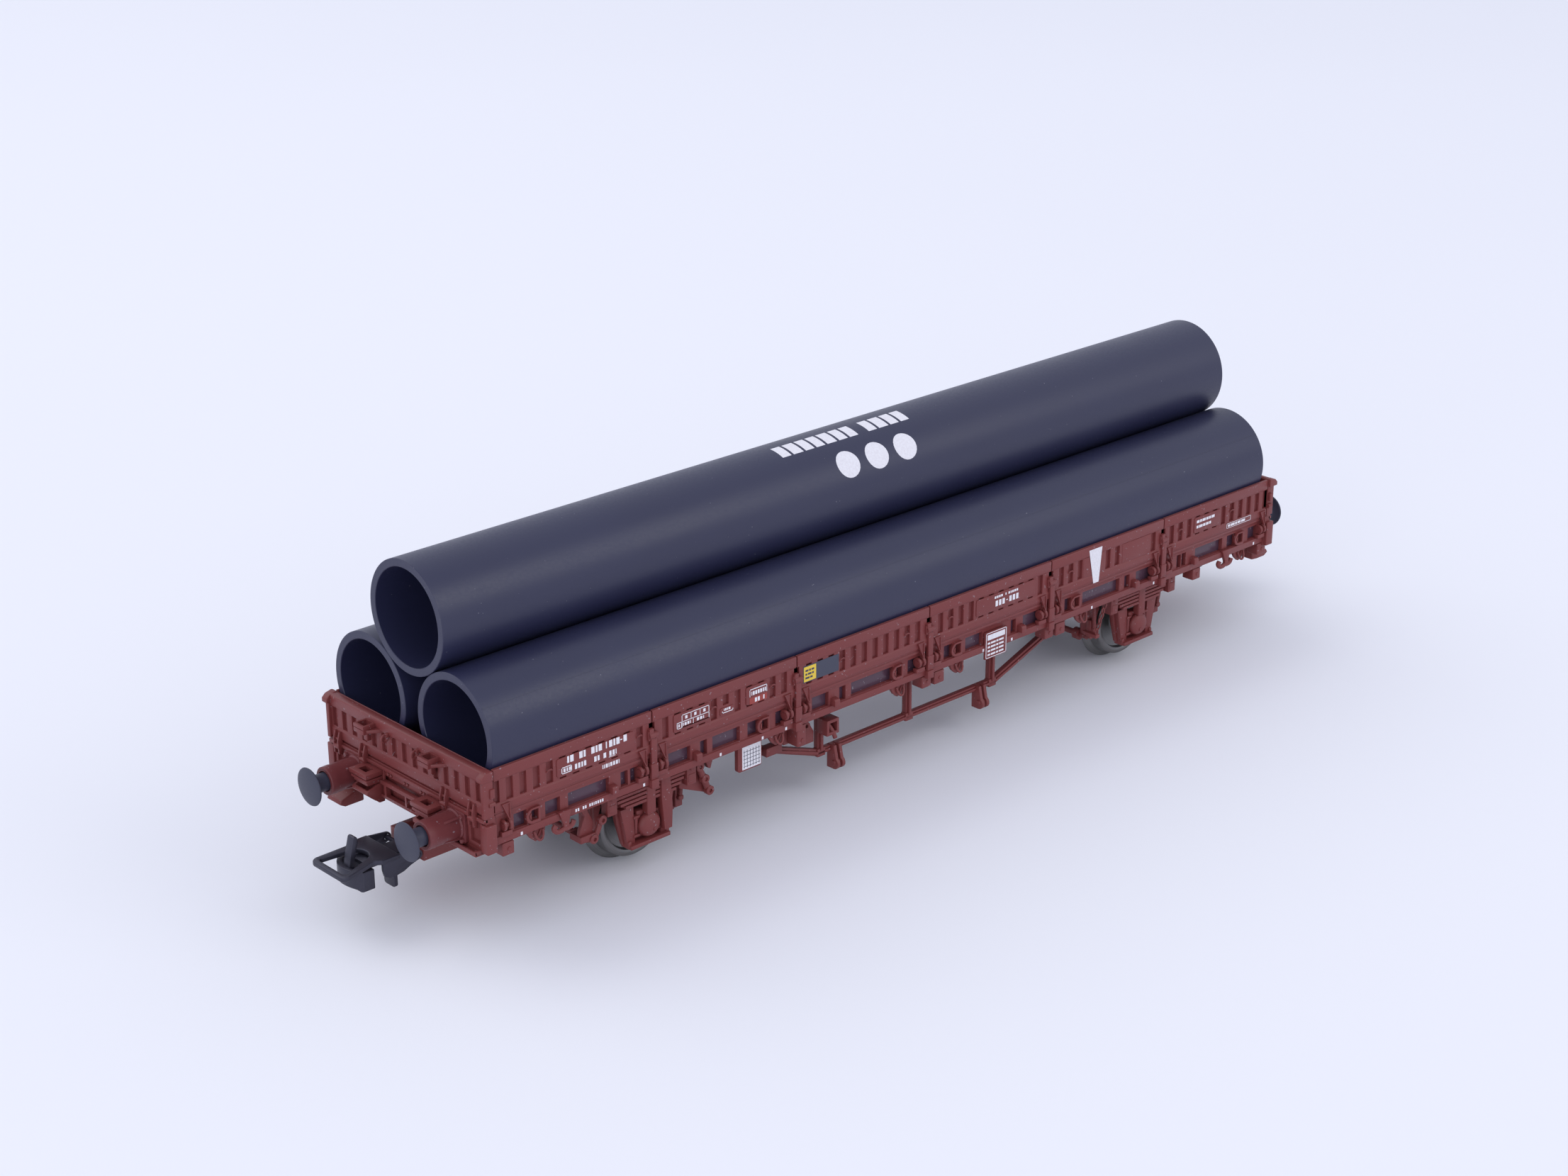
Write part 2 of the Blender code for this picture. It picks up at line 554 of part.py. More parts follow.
def build_pipes():
    """Three thin-walled pipes stacked in a pyramid on the deck."""
    low_z = DECK_TOP + PIPE_RADIUS + GAP
    rise = math.sqrt((2 * PIPE_RADIUS + GAP) ** 2 - PIPE_SPACING ** 2)
    places = {
        "pipe_left": (-PIPE_SPACING, low_z),
        "pipe_right": (PIPE_SPACING, low_z),
        "pipe_top": (0.0, low_z + rise),
    }
    section = [
        (PIPE_RADIUS, PIPE_HALF_LENGTH), (PIPE_RADIUS, -PIPE_HALF_LENGTH),
        (PIPE_BORE, -PIPE_HALF_LENGTH), (PIPE_BORE, PIPE_HALF_LENGTH),
    ]
    for name, (y, z) in places.items():
        turned(name, section, 48, tube_axis(PIPE_SHIFT, y, z, 1.0), "pipe_black")


def build_wagon():
    """Build every sub-assembly of the wagon."""
    build_deck()
    for side, side_sign in SIDES.items():
        build_sole_bar(side, side_sign)
        build_side_panels(side, side_sign)
        build_truss(side, side_sign)
    for end, end_sign in ENDS.items():
        axle_x = end_sign * WHEELBASE / 2
        build_headstock(end, end_sign)
        build_end_board(end, end_sign)
        build_wheelset(end, axle_x)
        build_coupler_pocket(end, end_sign)
        build_coupler_hook(end, end_sign)
        build_coupler_loop(end, end_sign)
        for side, side_sign in SIDES.items():
            name = f"{end}_{side}"
            build_axle_guard(name, axle_x, side_sign)
            build_axle_box(name, axle_x, side_sign)
            build_brake_gear(name, axle_x, side_sign)
            build_buffer(name, end_sign, side_sign)
    build_pipes()


clear_scene()
parts = make_collection("model_flat_car")
cutters = make_collection("cutters")
build_wagon()
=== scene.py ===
"""Model flat car with a load of three pipes: the visible pieces, finishes, studio and camera.

Every piece is modelled in millimetres on the bench, brought down to metres, and rides on a
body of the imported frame. X runs along the wagon with its front end at -X, and -Y is its left
side. The wagon looks the same after half a turn about the vertical, so each sub-assembly is
modelled for the front end or the left side, and its twin is a turned copy.
"""
import json
import logging
import math
from dataclasses import dataclass
from enum import Enum
from typing import Callable, Sequence

import bmesh
import bpy
from mathutils import Matrix, Vector

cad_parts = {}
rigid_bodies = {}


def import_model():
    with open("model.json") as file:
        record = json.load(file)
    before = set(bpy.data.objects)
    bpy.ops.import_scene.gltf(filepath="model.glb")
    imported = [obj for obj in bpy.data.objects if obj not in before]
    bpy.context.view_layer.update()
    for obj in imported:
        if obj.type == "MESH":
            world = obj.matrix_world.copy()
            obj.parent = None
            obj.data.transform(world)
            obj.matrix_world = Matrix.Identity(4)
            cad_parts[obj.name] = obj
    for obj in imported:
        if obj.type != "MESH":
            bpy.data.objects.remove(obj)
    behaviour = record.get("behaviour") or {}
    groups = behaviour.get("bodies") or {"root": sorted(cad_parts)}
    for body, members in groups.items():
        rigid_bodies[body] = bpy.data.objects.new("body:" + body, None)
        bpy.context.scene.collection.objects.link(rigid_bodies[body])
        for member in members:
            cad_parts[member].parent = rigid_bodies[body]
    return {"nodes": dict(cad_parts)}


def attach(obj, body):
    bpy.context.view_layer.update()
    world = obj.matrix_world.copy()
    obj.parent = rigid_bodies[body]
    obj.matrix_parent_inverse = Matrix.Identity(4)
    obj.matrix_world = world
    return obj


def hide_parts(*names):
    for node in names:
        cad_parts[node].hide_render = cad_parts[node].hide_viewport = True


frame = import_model()
log = logging.getLogger("flat_car")

MM = 0.001
Point = tuple[float, float]
Corner = tuple[float, float, float]
Colour = tuple[float, float, float]
Patch = tuple[Point, Point]
Item = bpy.types.Object

# Shared sizes in millimetres: front axle, and the drop sides' share of the wagon's length.
AXLE_X = -46.0
AXLE_Z = 6.3
PANELS = 6
PANELS_START = -71.15
PANEL_PITCH = -2 * PANELS_START / PANELS

# Tolerances of the bench, and the angle past which an edge is shaded sharp.
MERGE = 1e-4
SLIVER = 1e-5
CREASE = 34.0
HALF_TURN = Matrix.Rotation(math.pi, 4, "Z")


class Plane(Enum):
    """The plane that an outline is drawn in; its thickness runs across that plane."""

    SIDE = 1
    END = 0
    FLAT = 2

    def corner(self, u: float, v: float, depth: float) -> Vector:
        """Place a drawn point: SIDE draws (x, z), END draws (y, z), FLAT draws (x, y).

        Args:
            u: First coordinate of the drawing.
            v: Second coordinate of the drawing.
            depth: Place across the drawing.

        Returns:
            The point in space.
        """
        values = [u, v]
        values.insert(self.value, depth)
        return Vector(values)


def arc(centre: Point, radius: float, start: float, stop: float, count: int) -> list[Point]:
    """Points on an arc.

    Args:
        centre: Middle of the arc.
        radius: Its radius.
        start: Angle of the first point, in degrees.
        stop: Angle of the last point, in degrees.
        count: How many steps the arc takes.

    Returns:
        The points, both ends included.
    """
    angles = [math.radians(start + (stop - start) * step / count) for step in range(count + 1)]
    return [(centre[0] + radius * math.cos(a), centre[1] + radius * math.sin(a)) for a in angles]


def rounded(low: Point, high: Point, radius: float, count: int = 3) -> list[Point]:
    """Outline of a rectangle with rounded corners.

    Args:
        low: Lower left corner.
        high: Upper right corner.
        radius: Radius of the corners.
        count: Steps in each corner.

    Returns:
        The outline, anticlockwise.
    """
    turns = ((high[0], high[1], 0), (low[0], high[1], 90), (low[0], low[1], 180), (high[0], low[1], 270))
    points = []
    for x, y, start in turns:
        across = x - math.copysign(radius, x - (low[0] + high[0]) / 2)
        up = y - math.copysign(radius, y - (low[1] + high[1]) / 2)
        points += arc((across, up), radius, start, start + 90, count)
    return points


def opposite(name: str, count: int = 0) -> str:
    """Name of the piece that half a turn of the wagon puts in this one's place.

    Args:
        name: Name with left, right, front or rear in it.
        count: How many pieces a number at its end counts to, or 0.

    Returns:
        The name of the turned piece.
    """
    swaps = {"left": "right", "right": "left", "front": "rear", "rear": "front"}
    words = [swaps.get(word, word) for word in name.split("_")]
    if count and words[-1].isdigit():
        words[-1] = str(count + 1 - int(words[-1]))
    return "_".join(words)


class Bench:
    """The modelling bench: makes and shapes meshes in millimetres with the edit-mode tools."""

    def hold(self, item: Item) -> None:
        """Select one object alone and make it the active one.

        Args:
            item: The object.
        """
        bpy.ops.object.select_all(action="DESELECT")
        item.select_set(True)
        bpy.context.view_layer.objects.active = item

    def edit(self, item: Item, everything: bool = True) -> None:
        """Open an object in edit mode with all or nothing of it selected.

        Args:
            item: The object.
            everything: Whether all of it is selected.
        """
        self.hold(item)
        bpy.ops.object.mode_set(mode="EDIT")
        bpy.ops.mesh.select_mode(type="FACE")
        bpy.ops.mesh.select_all(action="SELECT" if everything else "DESELECT")

    def leave(self) -> None:
        """Go back to object mode."""
        bpy.ops.object.mode_set(mode="OBJECT")

    def pick(self, item: Item, test: Callable) -> None:
        """Select the faces of an open object that pass a test, and only those.

        Args:
            item: The open object.
            test: Says whether a face is picked.
        """
        bpy.ops.mesh.select_all(action="DESELECT")
        shape = bmesh.from_edit_mesh(item.data)
        for face in shape.faces:
            if test(face):
                face.select_set(True)
        bmesh.update_edit_mesh(item.data)

    def tidy(self, item: Item) -> Item:
        """Merge doubles, drop empty faces and turn the normals outwards.

        Args:
            item: The piece.

        Returns:
            The same piece.
        """
        self.edit(item)
        bpy.ops.mesh.remove_doubles(threshold=MERGE)
        bpy.ops.mesh.dissolve_degenerate(threshold=SLIVER)
        bpy.ops.mesh.select_all(action="SELECT")
        bpy.ops.mesh.normals_make_consistent(inside=False)
        self.leave()
        return item

    def block(self, low: Corner, high: Corner, edge: float = 0.0, segments: int = 2) -> Item:
        """Make a block between two corners.

        Args:
            low: One corner.
            high: The corner across from it.
            edge: Width of the bevel on every edge, or 0.
            segments: Steps in that bevel.

        Returns:
            The block.
        """
        bpy.ops.object.select_all(action="DESELECT")
        size = [abs(b - a) for a, b in zip(low, high)]
        middle = [(a + b) / 2 for a, b in zip(low, high)]
        bpy.ops.mesh.primitive_cube_add(size=1.0, location=middle, scale=size)
        item = bpy.context.object
        bpy.ops.object.transform_apply(location=True, rotation=True, scale=True)
        if edge:
            self.edit(item)
            bpy.ops.mesh.bevel(offset=edge, segments=segments, affect="EDGES", clamp_overlap=True)
            self.leave()
        return item

    def outline(self, points: Sequence[Point], plane: Plane, start: float, stop: float) -> Item:
        """Give a drawn outline its thickness.

        Args:
            points: The outline's corners in order.
            plane: The plane it is drawn in.
            start: Where its thickness starts.
            stop: Where it ends.

        Returns:
            The extruded solid.
        """
        bpy.ops.object.select_all(action="DESELECT")
        bpy.ops.mesh.primitive_circle_add(vertices=len(points), fill_type="NGON")
        item = bpy.context.object
        for vertex, (u, v) in zip(item.data.vertices, points):
            vertex.co = plane.corner(u, v, start)
        self.edit(item)
        move = plane.corner(0.0, 0.0, stop - start)
        bpy.ops.mesh.extrude_region_move(TRANSFORM_OT_translate={"value": move})
        bpy.ops.mesh.select_all(action="SELECT")
        bpy.ops.mesh.normals_make_consistent(inside=False)
        self.leave()
        return item

    def slab(self, points: Sequence[Point], plane: Plane, start: float, stop: float, edge: float = 0.05,
             segments: int = 2) -> Item:
        """Give an outline its thickness and break its edges.

        Args:
            points: The outline's corners in order.
            plane: The plane it is drawn in.
            start: Where its thickness starts.
            stop: Where it ends.
            edge: Width of the bevel.
            segments: Steps in that bevel.

        Returns:
            The slab.
        """
        return self.soften(self.outline(points, plane, start, stop), edge, segments)

    def turned(self, profile: Sequence[Point], centre: Corner, axis: int, steps: int = 48) -> Item:
        """Turn a profile about an axis, as on a lathe.

        Args:
            profile: Points as (radius, distance along the axis).
            centre: A point on the axis.
            axis: 0, 1 or 2 for X, Y or Z.
            steps: How many sides the turned piece has.

        Returns:
            The turned solid.
        """
        bpy.ops.object.select_all(action="DESELECT")
        bpy.ops.mesh.primitive_circle_add(vertices=len(profile), fill_type="NOTHING")
        item = bpy.context.object
        across = (axis + 1) % 3
        for vertex, (radius, along) in zip(item.data.vertices, profile):
            place = Vector(centre)
            place[axis] += along
            place[across] += radius
            vertex.co = place
        bpy.ops.object.mode_set(mode="EDIT")
        bpy.ops.mesh.select_mode(type="EDGE")
        if profile[0][0] == 0.0 and profile[-1][0] == 0.0:
            shape = bmesh.from_edit_mesh(item.data)
            shape.verts.ensure_lookup_table()
            ends = {shape.verts[0], shape.verts[len(profile) - 1]}
            closing = next(edge for edge in shape.edges if set(edge.verts) == ends)
            shape.edges.remove(closing)
            bmesh.update_edit_mesh(item.data)
        bpy.ops.mesh.select_all(action="SELECT")
        direction = Vector((0.0, 0.0, 0.0))
        direction[axis] = 1.0
        bpy.ops.mesh.spin(steps=steps, angle=2 * math.pi, center=centre, axis=direction)
        self.leave()
        return self.tidy(item)

    def rod(self, points: Sequence[Corner], radius: float, closed: bool = False, sides: int = 2) -> Item:
        """Bend a round rod along a smooth route.

        Args:
            points: Where the rod passes.
            radius: Its radius.
            closed: Whether it joins up into a ring or link.
            sides: Bevel resolution of its section.

        Returns:
            The rod as a mesh.
        """
        curve = bpy.data.curves.new("rod", "CURVE")
        curve.dimensions = "3D"
        curve.resolution_u = 4
        curve.bevel_depth = radius
        curve.bevel_resolution = sides
        curve.use_fill_caps = not closed
        spline = curve.splines.new("BEZIER")
        spline.bezier_points.add(len(points) - 1)
        for knot, place in zip(spline.bezier_points, points):
            knot.co = place
            knot.handle_left_type = "AUTO"
            knot.handle_right_type = "AUTO"
        spline.use_cyclic_u = closed
        item = bpy.data.objects.new("rod", curve)
        bpy.context.scene.collection.objects.link(item)
        self.hold(item)
        bpy.ops.object.convert(target="MESH")
        return self.tidy(bpy.context.object)

    def sink(self, item: Item, way: Corner, patches: Sequence[Patch], depth: float) -> Item:
        """Sink patches into a flat face, or raise them with a depth below 0.

        Args:
            item: The piece that is shaped.
            way: Unit vector that the face looks along.
            patches: Limits of each patch along the face's two axes, in X, Y, Z order.
            depth: How deep the patches go.

        Returns:
            The same piece.
        """
        normal = Vector(way)
        axes = [index for index in range(3) if abs(normal[index]) < 0.5]
        self.edit(item, everything=False)

        def faces_way(face: bmesh.types.BMFace) -> bool:
            """Whether a face looks along the way."""
            return face.normal.dot(normal) > 0.999

        def overlaps(face: bmesh.types.BMFace, patch: Patch) -> bool:
            """Whether a face reaches into a patch."""
            for axis, (low, high) in zip(axes, patch):
                values = [vertex.co[axis] for vertex in face.verts]
                if max(values) <= low + MERGE or min(values) >= high - MERGE:
                    return False
            return True

        def inside(face: bmesh.types.BMFace, patch: Patch) -> bool:
            """Whether the middle of a face lies in a patch."""
            centre = face.calc_center_median()
            return all(low < centre[axis] < high for axis, (low, high) in zip(axes, patch))

        for patch in patches:
            for axis, limits in zip(axes, patch):
                for limit in limits:
                    self.pick(item, lambda face: faces_way(face) and overlaps(face, patch))
                    place, cut = Vector((0.0, 0.0, 0.0)), Vector((0.0, 0.0, 0.0))
                    place[axis], cut[axis] = limit, 1.0
                    bpy.ops.mesh.bisect(plane_co=place, plane_no=cut, threshold=SLIVER)
        self.pick(item, lambda face: faces_way(face) and any(inside(face, patch) for patch in patches))
        bpy.ops.mesh.extrude_region_move(TRANSFORM_OT_translate={"value": -depth * normal})
        bpy.ops.mesh.select_all(action="DESELECT")
        self.leave()
        return item

    def cut(self, item: Item, *tools: Item) -> Item:
        """Cut tool solids out of a piece.

        Args:
            item: The piece.
            tools: The solids, which are used up.

        Returns:
            The same piece.
        """
        tool = self.join(*tools)
        self.hold(item)
        step = item.modifiers.new("cut", "BOOLEAN")
        step.object = tool
        step.operation = "DIFFERENCE"
        step.solver = "EXACT"
        bpy.ops.object.modifier_apply(modifier=step.name)
        bpy.data.objects.remove(tool, do_unlink=True)
        return item

    def soften(self, item: Item, width: float = 0.045, segments: int = 2, limit: float = 32.0) -> Item:
        """Break the sharp edges of a piece with a small bevel.

        Args:
            item: The piece.
            width: Width of the bevel.
            segments: Steps in it.
            limit: Edges sharper than this many degrees are bevelled.

        Returns:
            The same piece.
        """
        self.hold(item)
        step = item.modifiers.new("edges", "BEVEL")
        step.width = width
        step.segments = segments
        step.limit_method = "ANGLE"
        step.angle_limit = math.radians(limit)
        step.use_clamp_overlap = False
        step.miter_outer = "MITER_ARC"
        bpy.ops.object.modifier_apply(modifier=step.name)
        return item

    def join(self, *items: Item) -> Item:
        """Join objects into the first one.

        Args:
            items: The objects.

        Returns:
            The first one.
        """
        self.hold(items[0])
        for item in items[1:]:
            item.select_set(True)
        if len(items) > 1:
            bpy.ops.object.join()
        return items[0]

    def copy(self, item: Item, matrix: Matrix) -> Item:
        """Copy a piece with a mesh of its own, and move the copy.

        Args:
            item: The piece.
            matrix: How the copy is moved.

        Returns:
            The copy.
        """
        twin = item.copy()
        twin.data = item.data.copy()
        bpy.context.scene.collection.objects.link(twin)
        twin.data.transform(matrix)
        return twin

    def shift(self, item: Item, x: float = 0.0, y: float = 0.0, z: float = 0.0) -> Item:
        """Copy a piece and slide the copy."""
        return self.copy(item, Matrix.Translation((x, y, z)))

    def swing(self, item: Item, centre: Corner, angle: float, axis: str) -> Item:
        """Turn a piece about a point.

        Args:
            item: The piece.
            centre: The point it turns about.
            angle: How far, in degrees.
            axis: X, Y or Z.

        Returns:
            The same piece.
        """
        middle = Matrix.Translation(centre)
        item.data.transform(middle @ Matrix.Rotation(math.radians(angle), 4, axis) @ middle.inverted())
        return item


bench = Bench()


class Link:
    """A shader socket that takes part in Python sums; each sum adds a Math node."""

    def __init__(self, sheet: "Sheet", socket: bpy.types.NodeSocket) -> None:
        """Wrap one socket of a sheet.

        Args:
            sheet: The sheet it belongs to.
            socket: The socket.
        """
        self.sheet = sheet
        self.socket = socket

    def maths(self, operation: str, first: "Link | float", second: "Link | float") -> "Link":
        """Add one Math node."""
        return self.sheet.node("ShaderNodeMath", {"operation": operation}, {0: first, 1: second})

    def __add__(self, other: "Link | float") -> "Link":
        """Sum."""
        return self.maths("ADD", self, other)

    __radd__ = __add__

    def __sub__(self, other: "Link | float") -> "Link":
        """Difference."""
        return self.maths("SUBTRACT", self, other)

    def __rsub__(self, other: "Link | float") -> "Link":
        """Difference from a number."""
        return self.maths("SUBTRACT", other, self)

    def __mul__(self, other: "Link | float") -> "Link":
        """Product."""
        return self.maths("MULTIPLY", self, other)

    __rmul__ = __mul__

    def __pow__(self, other: "Link | float") -> "Link":
        """Power."""
        return self.maths("POWER", self, other)

    def __gt__(self, other: "Link | float") -> "Link":
        """1 where this value is greater, otherwise 0."""
        return self.maths("GREATER_THAN", self, other)


class Sheet:
    """The node sheet of one material."""

    def __init__(self, name: str) -> None:
        """Start a material with one Principled shader.

        Args:
            name: Name of the material.
        """
        self.material = bpy.data.materials.new(name)
        self.material.use_nodes = True
        self.tree = self.material.node_tree
        self.shader = self.tree.nodes["Principled BSDF"]

    def connect(self, socket: bpy.types.NodeSocket, value: "Link | float | Sequence[float]") -> None:
        """Give a socket a link or a fixed value.

        Args:
            socket: The socket.
            value: What it is given.
        """
        if isinstance(value, Link):
            self.tree.links.new(value.socket, socket)
        else:
            socket.default_value = value

    def node(self, kind: str, settings: dict, inputs: dict, output: int | str = 0) -> Link:
        """Add a node.

        Args:
            kind: The node's type.
            settings: Its properties, set before its sockets.
            inputs: Values or links by socket name or number.
            output: The socket that is handed back.

        Returns:
            The chosen output.
        """
        made = self.tree.nodes.new(kind)
        for name, value in settings.items():
            setattr(made, name, value)
        for name, value in inputs.items():
            self.connect(made.inputs[name], value)
        return Link(self, made.outputs[output])

    def place(self) -> Link:
        """Position on the piece in metres."""
        return self.node("ShaderNodeTexCoord", {}, {}, "Object")

    def along(self, place: Link, axis: str) -> Link:
        """One coordinate of a position."""
        return self.node("ShaderNodeSeparateXYZ", {}, {0: place}, axis)

    def noise(self, place: Link, scale: float, detail: float = 3.0,
              stretch: Corner = (1.0, 1.0, 1.0)) -> Link:
        """Noise with a middle of 0.5; its scale counts features per metre.

        Args:
            place: Position that it reads.
            scale: Features per metre.
            detail: How many finer layers it has.
            stretch: Scale along each axis.

        Returns:
            Its value.
        """
        inputs = {"Vector": place, "Scale": stretch}
        moved = self.node("ShaderNodeMapping", {"vector_type": "POINT"}, inputs)
        return self.node("ShaderNodeTexNoise", {}, {"Vector": moved, "Scale": scale, "Detail": detail})

    def blend(self, amount: Link, first: Colour | Link, second: Colour | Link) -> Link:
        """Mix two colours.

        Args:
            amount: 0 gives the first, 1 the second.
            first: A colour.
            second: A colour.

        Returns:
            The mixed colour.
        """
        ends = [colour if isinstance(colour, Link) else (*colour, 1.0) for colour in (first, second)]
        return self.node("ShaderNodeMix", {"data_type": "RGBA"}, {0: amount, 6: ends[0], 7: ends[1]}, 2)

    def bump(self, height: Link, distance: float, strength: float) -> Link:
        """Turn a height into a normal."""
        return self.node("ShaderNodeBump", {}, {"Height": height, "Distance": distance, "Strength": strength})

    def finish(self, **values: "Link | float | Sequence[float]") -> bpy.types.Material:
        """Set the shader's sockets by name, with _ for a space, and hand back the material.

        Args:
            values: Values or links by socket name.

        Returns:
            The material.
        """
        for name, value in values.items():
            self.connect(self.shader.inputs[name.replace("_", " ")], value)
        return self.material


@dataclass(frozen=True)
class Moulded:
    """Plastic from a mould: a fine grain, slow changes of tint and a few specks of dust."""

    name: str
    light: Colour
    dark: Colour
    roughness: float
    grain: float = 5200.0
    dust: float = 0.735
    gloss: float = 0.4
    tint_scale: float = 90.0
    speck_scale: float = 2600.0
    dust_cover: float = 0.3
    dust_colour: Colour = (0.42, 0.42, 0.46)
    grain_depth: float = 2e-5

    def material(self) -> bpy.types.Material:
        """Build the material.

        Returns:
            The material with its nodes.
        """
        sheet = Sheet(self.name)
        place = sheet.place()
        tint = sheet.noise(place, self.tint_scale)
        fine = sheet.noise(place, self.grain, 4.0)
        speck = sheet.noise(place, self.speck_scale, 1.0) > self.dust
        colour = sheet.blend(tint * 0.8 + fine * 0.2, self.dark, self.light)
        colour = sheet.blend(speck * self.dust_cover, colour, self.dust_colour)
        rough = self.roughness + (fine - 0.5) * 0.22 + (tint - 0.5) * 0.12
        normal = sheet.bump(fine, self.grain_depth, 0.35)
        return sheet.finish(Base_Color=colour, Roughness=rough, Specular_IOR_Level=self.gloss, Normal=normal)


@dataclass(frozen=True)
class TurnedMetal:
    """Metal from a lathe: fine rings about an axle and a darker film in places."""

    name: str
    centre: Point
    light: Colour = (0.30, 0.295, 0.29)
    dark: Colour = (0.10, 0.098, 0.10)
    ring_scale: float = 9000.0
    film_scale: float = 420.0
    ring_depth: float = 1e-5

    def material(self) -> bpy.types.Material:
        """Build the material.

        Returns:
            The material with its nodes.
        """
        sheet = Sheet(self.name)
        place = sheet.place()
        across = sheet.along(place, "X") - self.centre[0]
        up = sheet.along(place, "Z") - self.centre[1]
        radius = (across * across + up * up) ** 0.5
        inputs = {"W": radius, "Scale": self.ring_scale, "Detail": 3.0}
        rings = sheet.node("ShaderNodeTexNoise", {"noise_dimensions": "1D"}, inputs)
        film = sheet.noise(place, self.film_scale, 4.0)
        colour = sheet.blend(rings * 0.5 + film * 0.5, self.dark, self.light)
        rough = 0.26 + film * 0.25 + rings * 0.08
        normal = sheet.bump(rings, self.ring_depth, 0.5)
        return sheet.finish(Base_Color=colour, Roughness=rough, Metallic=0.9, Normal=normal)


@dataclass(frozen=True)
class Blackened:
    """Blackened or rolled metal: a film with faint scratches along one direction."""

    name: str
    light: Colour
    dark: Colour
    metallic: float
    roughness: float
    stretch: Corner = (0.15, 1.0, 1.0)
    film_scale: float = 260.0
    scratch_scale: float = 5200.0
    scratch_depth: float = 1e-5

    def material(self) -> bpy.types.Material:
        """Build the material.

        Returns:
            The material with its nodes.
        """
        sheet = Sheet(self.name)
        place = sheet.place()
        film = sheet.noise(place, self.film_scale, 4.0)
        scratch = sheet.noise(place, self.scratch_scale, 5.0, self.stretch)
        colour = sheet.blend(film * 0.6 + scratch * 0.4, self.dark, self.light)
        rough = self.roughness + (scratch - 0.5) * 0.3
        normal = sheet.bump(scratch, self.scratch_depth, 0.4)
        return sheet.finish(Base_Color=colour, Roughness=rough, Metallic=self.metallic, Normal=normal)


@dataclass(frozen=True)
class Printed:
    """A thin layer of pad-printed paint."""

    name: str
    colour: Colour
    thin: Colour
    cover_scale: float = 3600.0

    def material(self) -> bpy.types.Material:
        """Build the material.

        Returns:
            The material with its nodes.
        """
        sheet = Sheet(self.name)
        place = sheet.place()
        cover = sheet.noise(place, self.cover_scale)
        colour = sheet.blend(cover, self.thin, self.colour)
        return sheet.finish(Base_Color=colour, Roughness=0.45 + cover * 0.15)


RED_BROWN = Moulded("red_brown", (0.194, 0.038, 0.037), (0.160, 0.032, 0.031), 0.46)
# Brown with a purple tint for the sheet behind the sole-bar windows: the tint is a painted reflection of the
# bluish room.
REFLECTION_PAINTED_BROWN = Moulded("red_brown_painted_reflection", (0.090, 0.045, 0.070), (0.070, 0.036, 0.055), 0.22)
PIPE = Moulded("pipe_black", (0.022, 0.024, 0.062), (0.017, 0.018, 0.049), 0.40, 3000.0, 0.80, 0.5)
BUFFER = Moulded("buffer_black", (0.048, 0.050, 0.078), (0.040, 0.042, 0.066), 0.46, 5200.0, 0.79)
COUPLER = Blackened("coupler_black", (0.062, 0.060, 0.084), (0.030, 0.029, 0.044), 0.55, 0.40)
BALLAST = Blackened("ballast_steel", (0.34, 0.33, 0.36), (0.22, 0.21, 0.24), 0.85, 0.34)
BUFFER_CASE = Moulded("red_brown_case", (0.172, 0.036, 0.038), (0.140, 0.029, 0.032), 0.46)
FRONT_WHEELS = TurnedMetal("wheel_metal_front", (AXLE_X * MM, AXLE_Z * MM))
REAR_WHEELS = TurnedMetal("wheel_metal_rear", (-AXLE_X * MM, AXLE_Z * MM))
WHITE = Printed("white_print", (0.86, 0.86, 0.90), (0.66, 0.62, 0.66))
YELLOW = Printed("yellow_print", (0.80, 0.58, 0.05), (0.68, 0.47, 0.05))
SLATE = Printed("slate_print", (0.048, 0.052, 0.085), (0.040, 0.043, 0.070))
CORAL = Printed("coral_print", (0.33, 0.045, 0.035), (0.26, 0.038, 0.030))

Finish = Moulded | TurnedMetal | Blackened | Printed
_materials: dict[str, bpy.types.Material] = {}


def material_of(finish: Finish) -> bpy.types.Material:
    """Material of a finish, built once.

    Args:
        finish: The finish.

    Returns:
        Its material.
    """
    if finish.name not in _materials:
        _materials[finish.name] = finish.material()
    return _materials[finish.name]


@dataclass
class Assembly:
    """A sub-assembly: builds its meshes on the bench and dresses them for the wagon."""

    def dress(self, item: Item, name: str, finish: Finish, body: str, stands_for: Sequence[str]) -> None:
        """Name a finished mesh that is already in metres, give it its finish, and fix it to its body.

        Args:
            item: The mesh, already brought to metres.
            name: Name of the piece.
            finish: Its finish.
            body: The body it moves with.
            stands_for: CAD nodes that it replaces.
        """
        item.name = name
        item.data.name = name
        item.data.materials.clear()
        item.data.materials.append(material_of(finish))
        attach(item, body)
        if stands_for:
            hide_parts(*stands_for)
        log.info("%s rides on %s: %d faces", name, body, len(item.data.polygons))

    def keep(self, item: Item, name: str, finish: Finish, body: str = "wagon",
             stands_for: Sequence[str] = (), twin: bool = True, count: int = 0,
             turned: Finish | None = None) -> None:
        """Finish a piece and, where it has one, its twin at the other side or end.

        Args:
            item: The mesh, in millimetres.
            name: Name of the piece.
            finish: Its finish.
            body: The body it moves with.
            stands_for: CAD nodes that it replaces.
            twin: Whether half a turn makes another piece.
            count: How many pieces a number at the name's end counts to.
            turned: Finish of the twin, where it differs.
        """
        bench.hold(item)
        item.scale = (MM, MM, MM)
        bpy.ops.object.transform_apply(location=True, rotation=True, scale=True)
        bpy.ops.object.shade_smooth_by_angle(angle=math.radians(CREASE))
        if twin:
            other = bench.copy(item, HALF_TURN)
            nodes = [opposite(node, count) for node in stands_for]
            self.dress(other, opposite(name, count), turned or finish, opposite(body), nodes)
        self.dress(item, name, finish, body, stands_for)


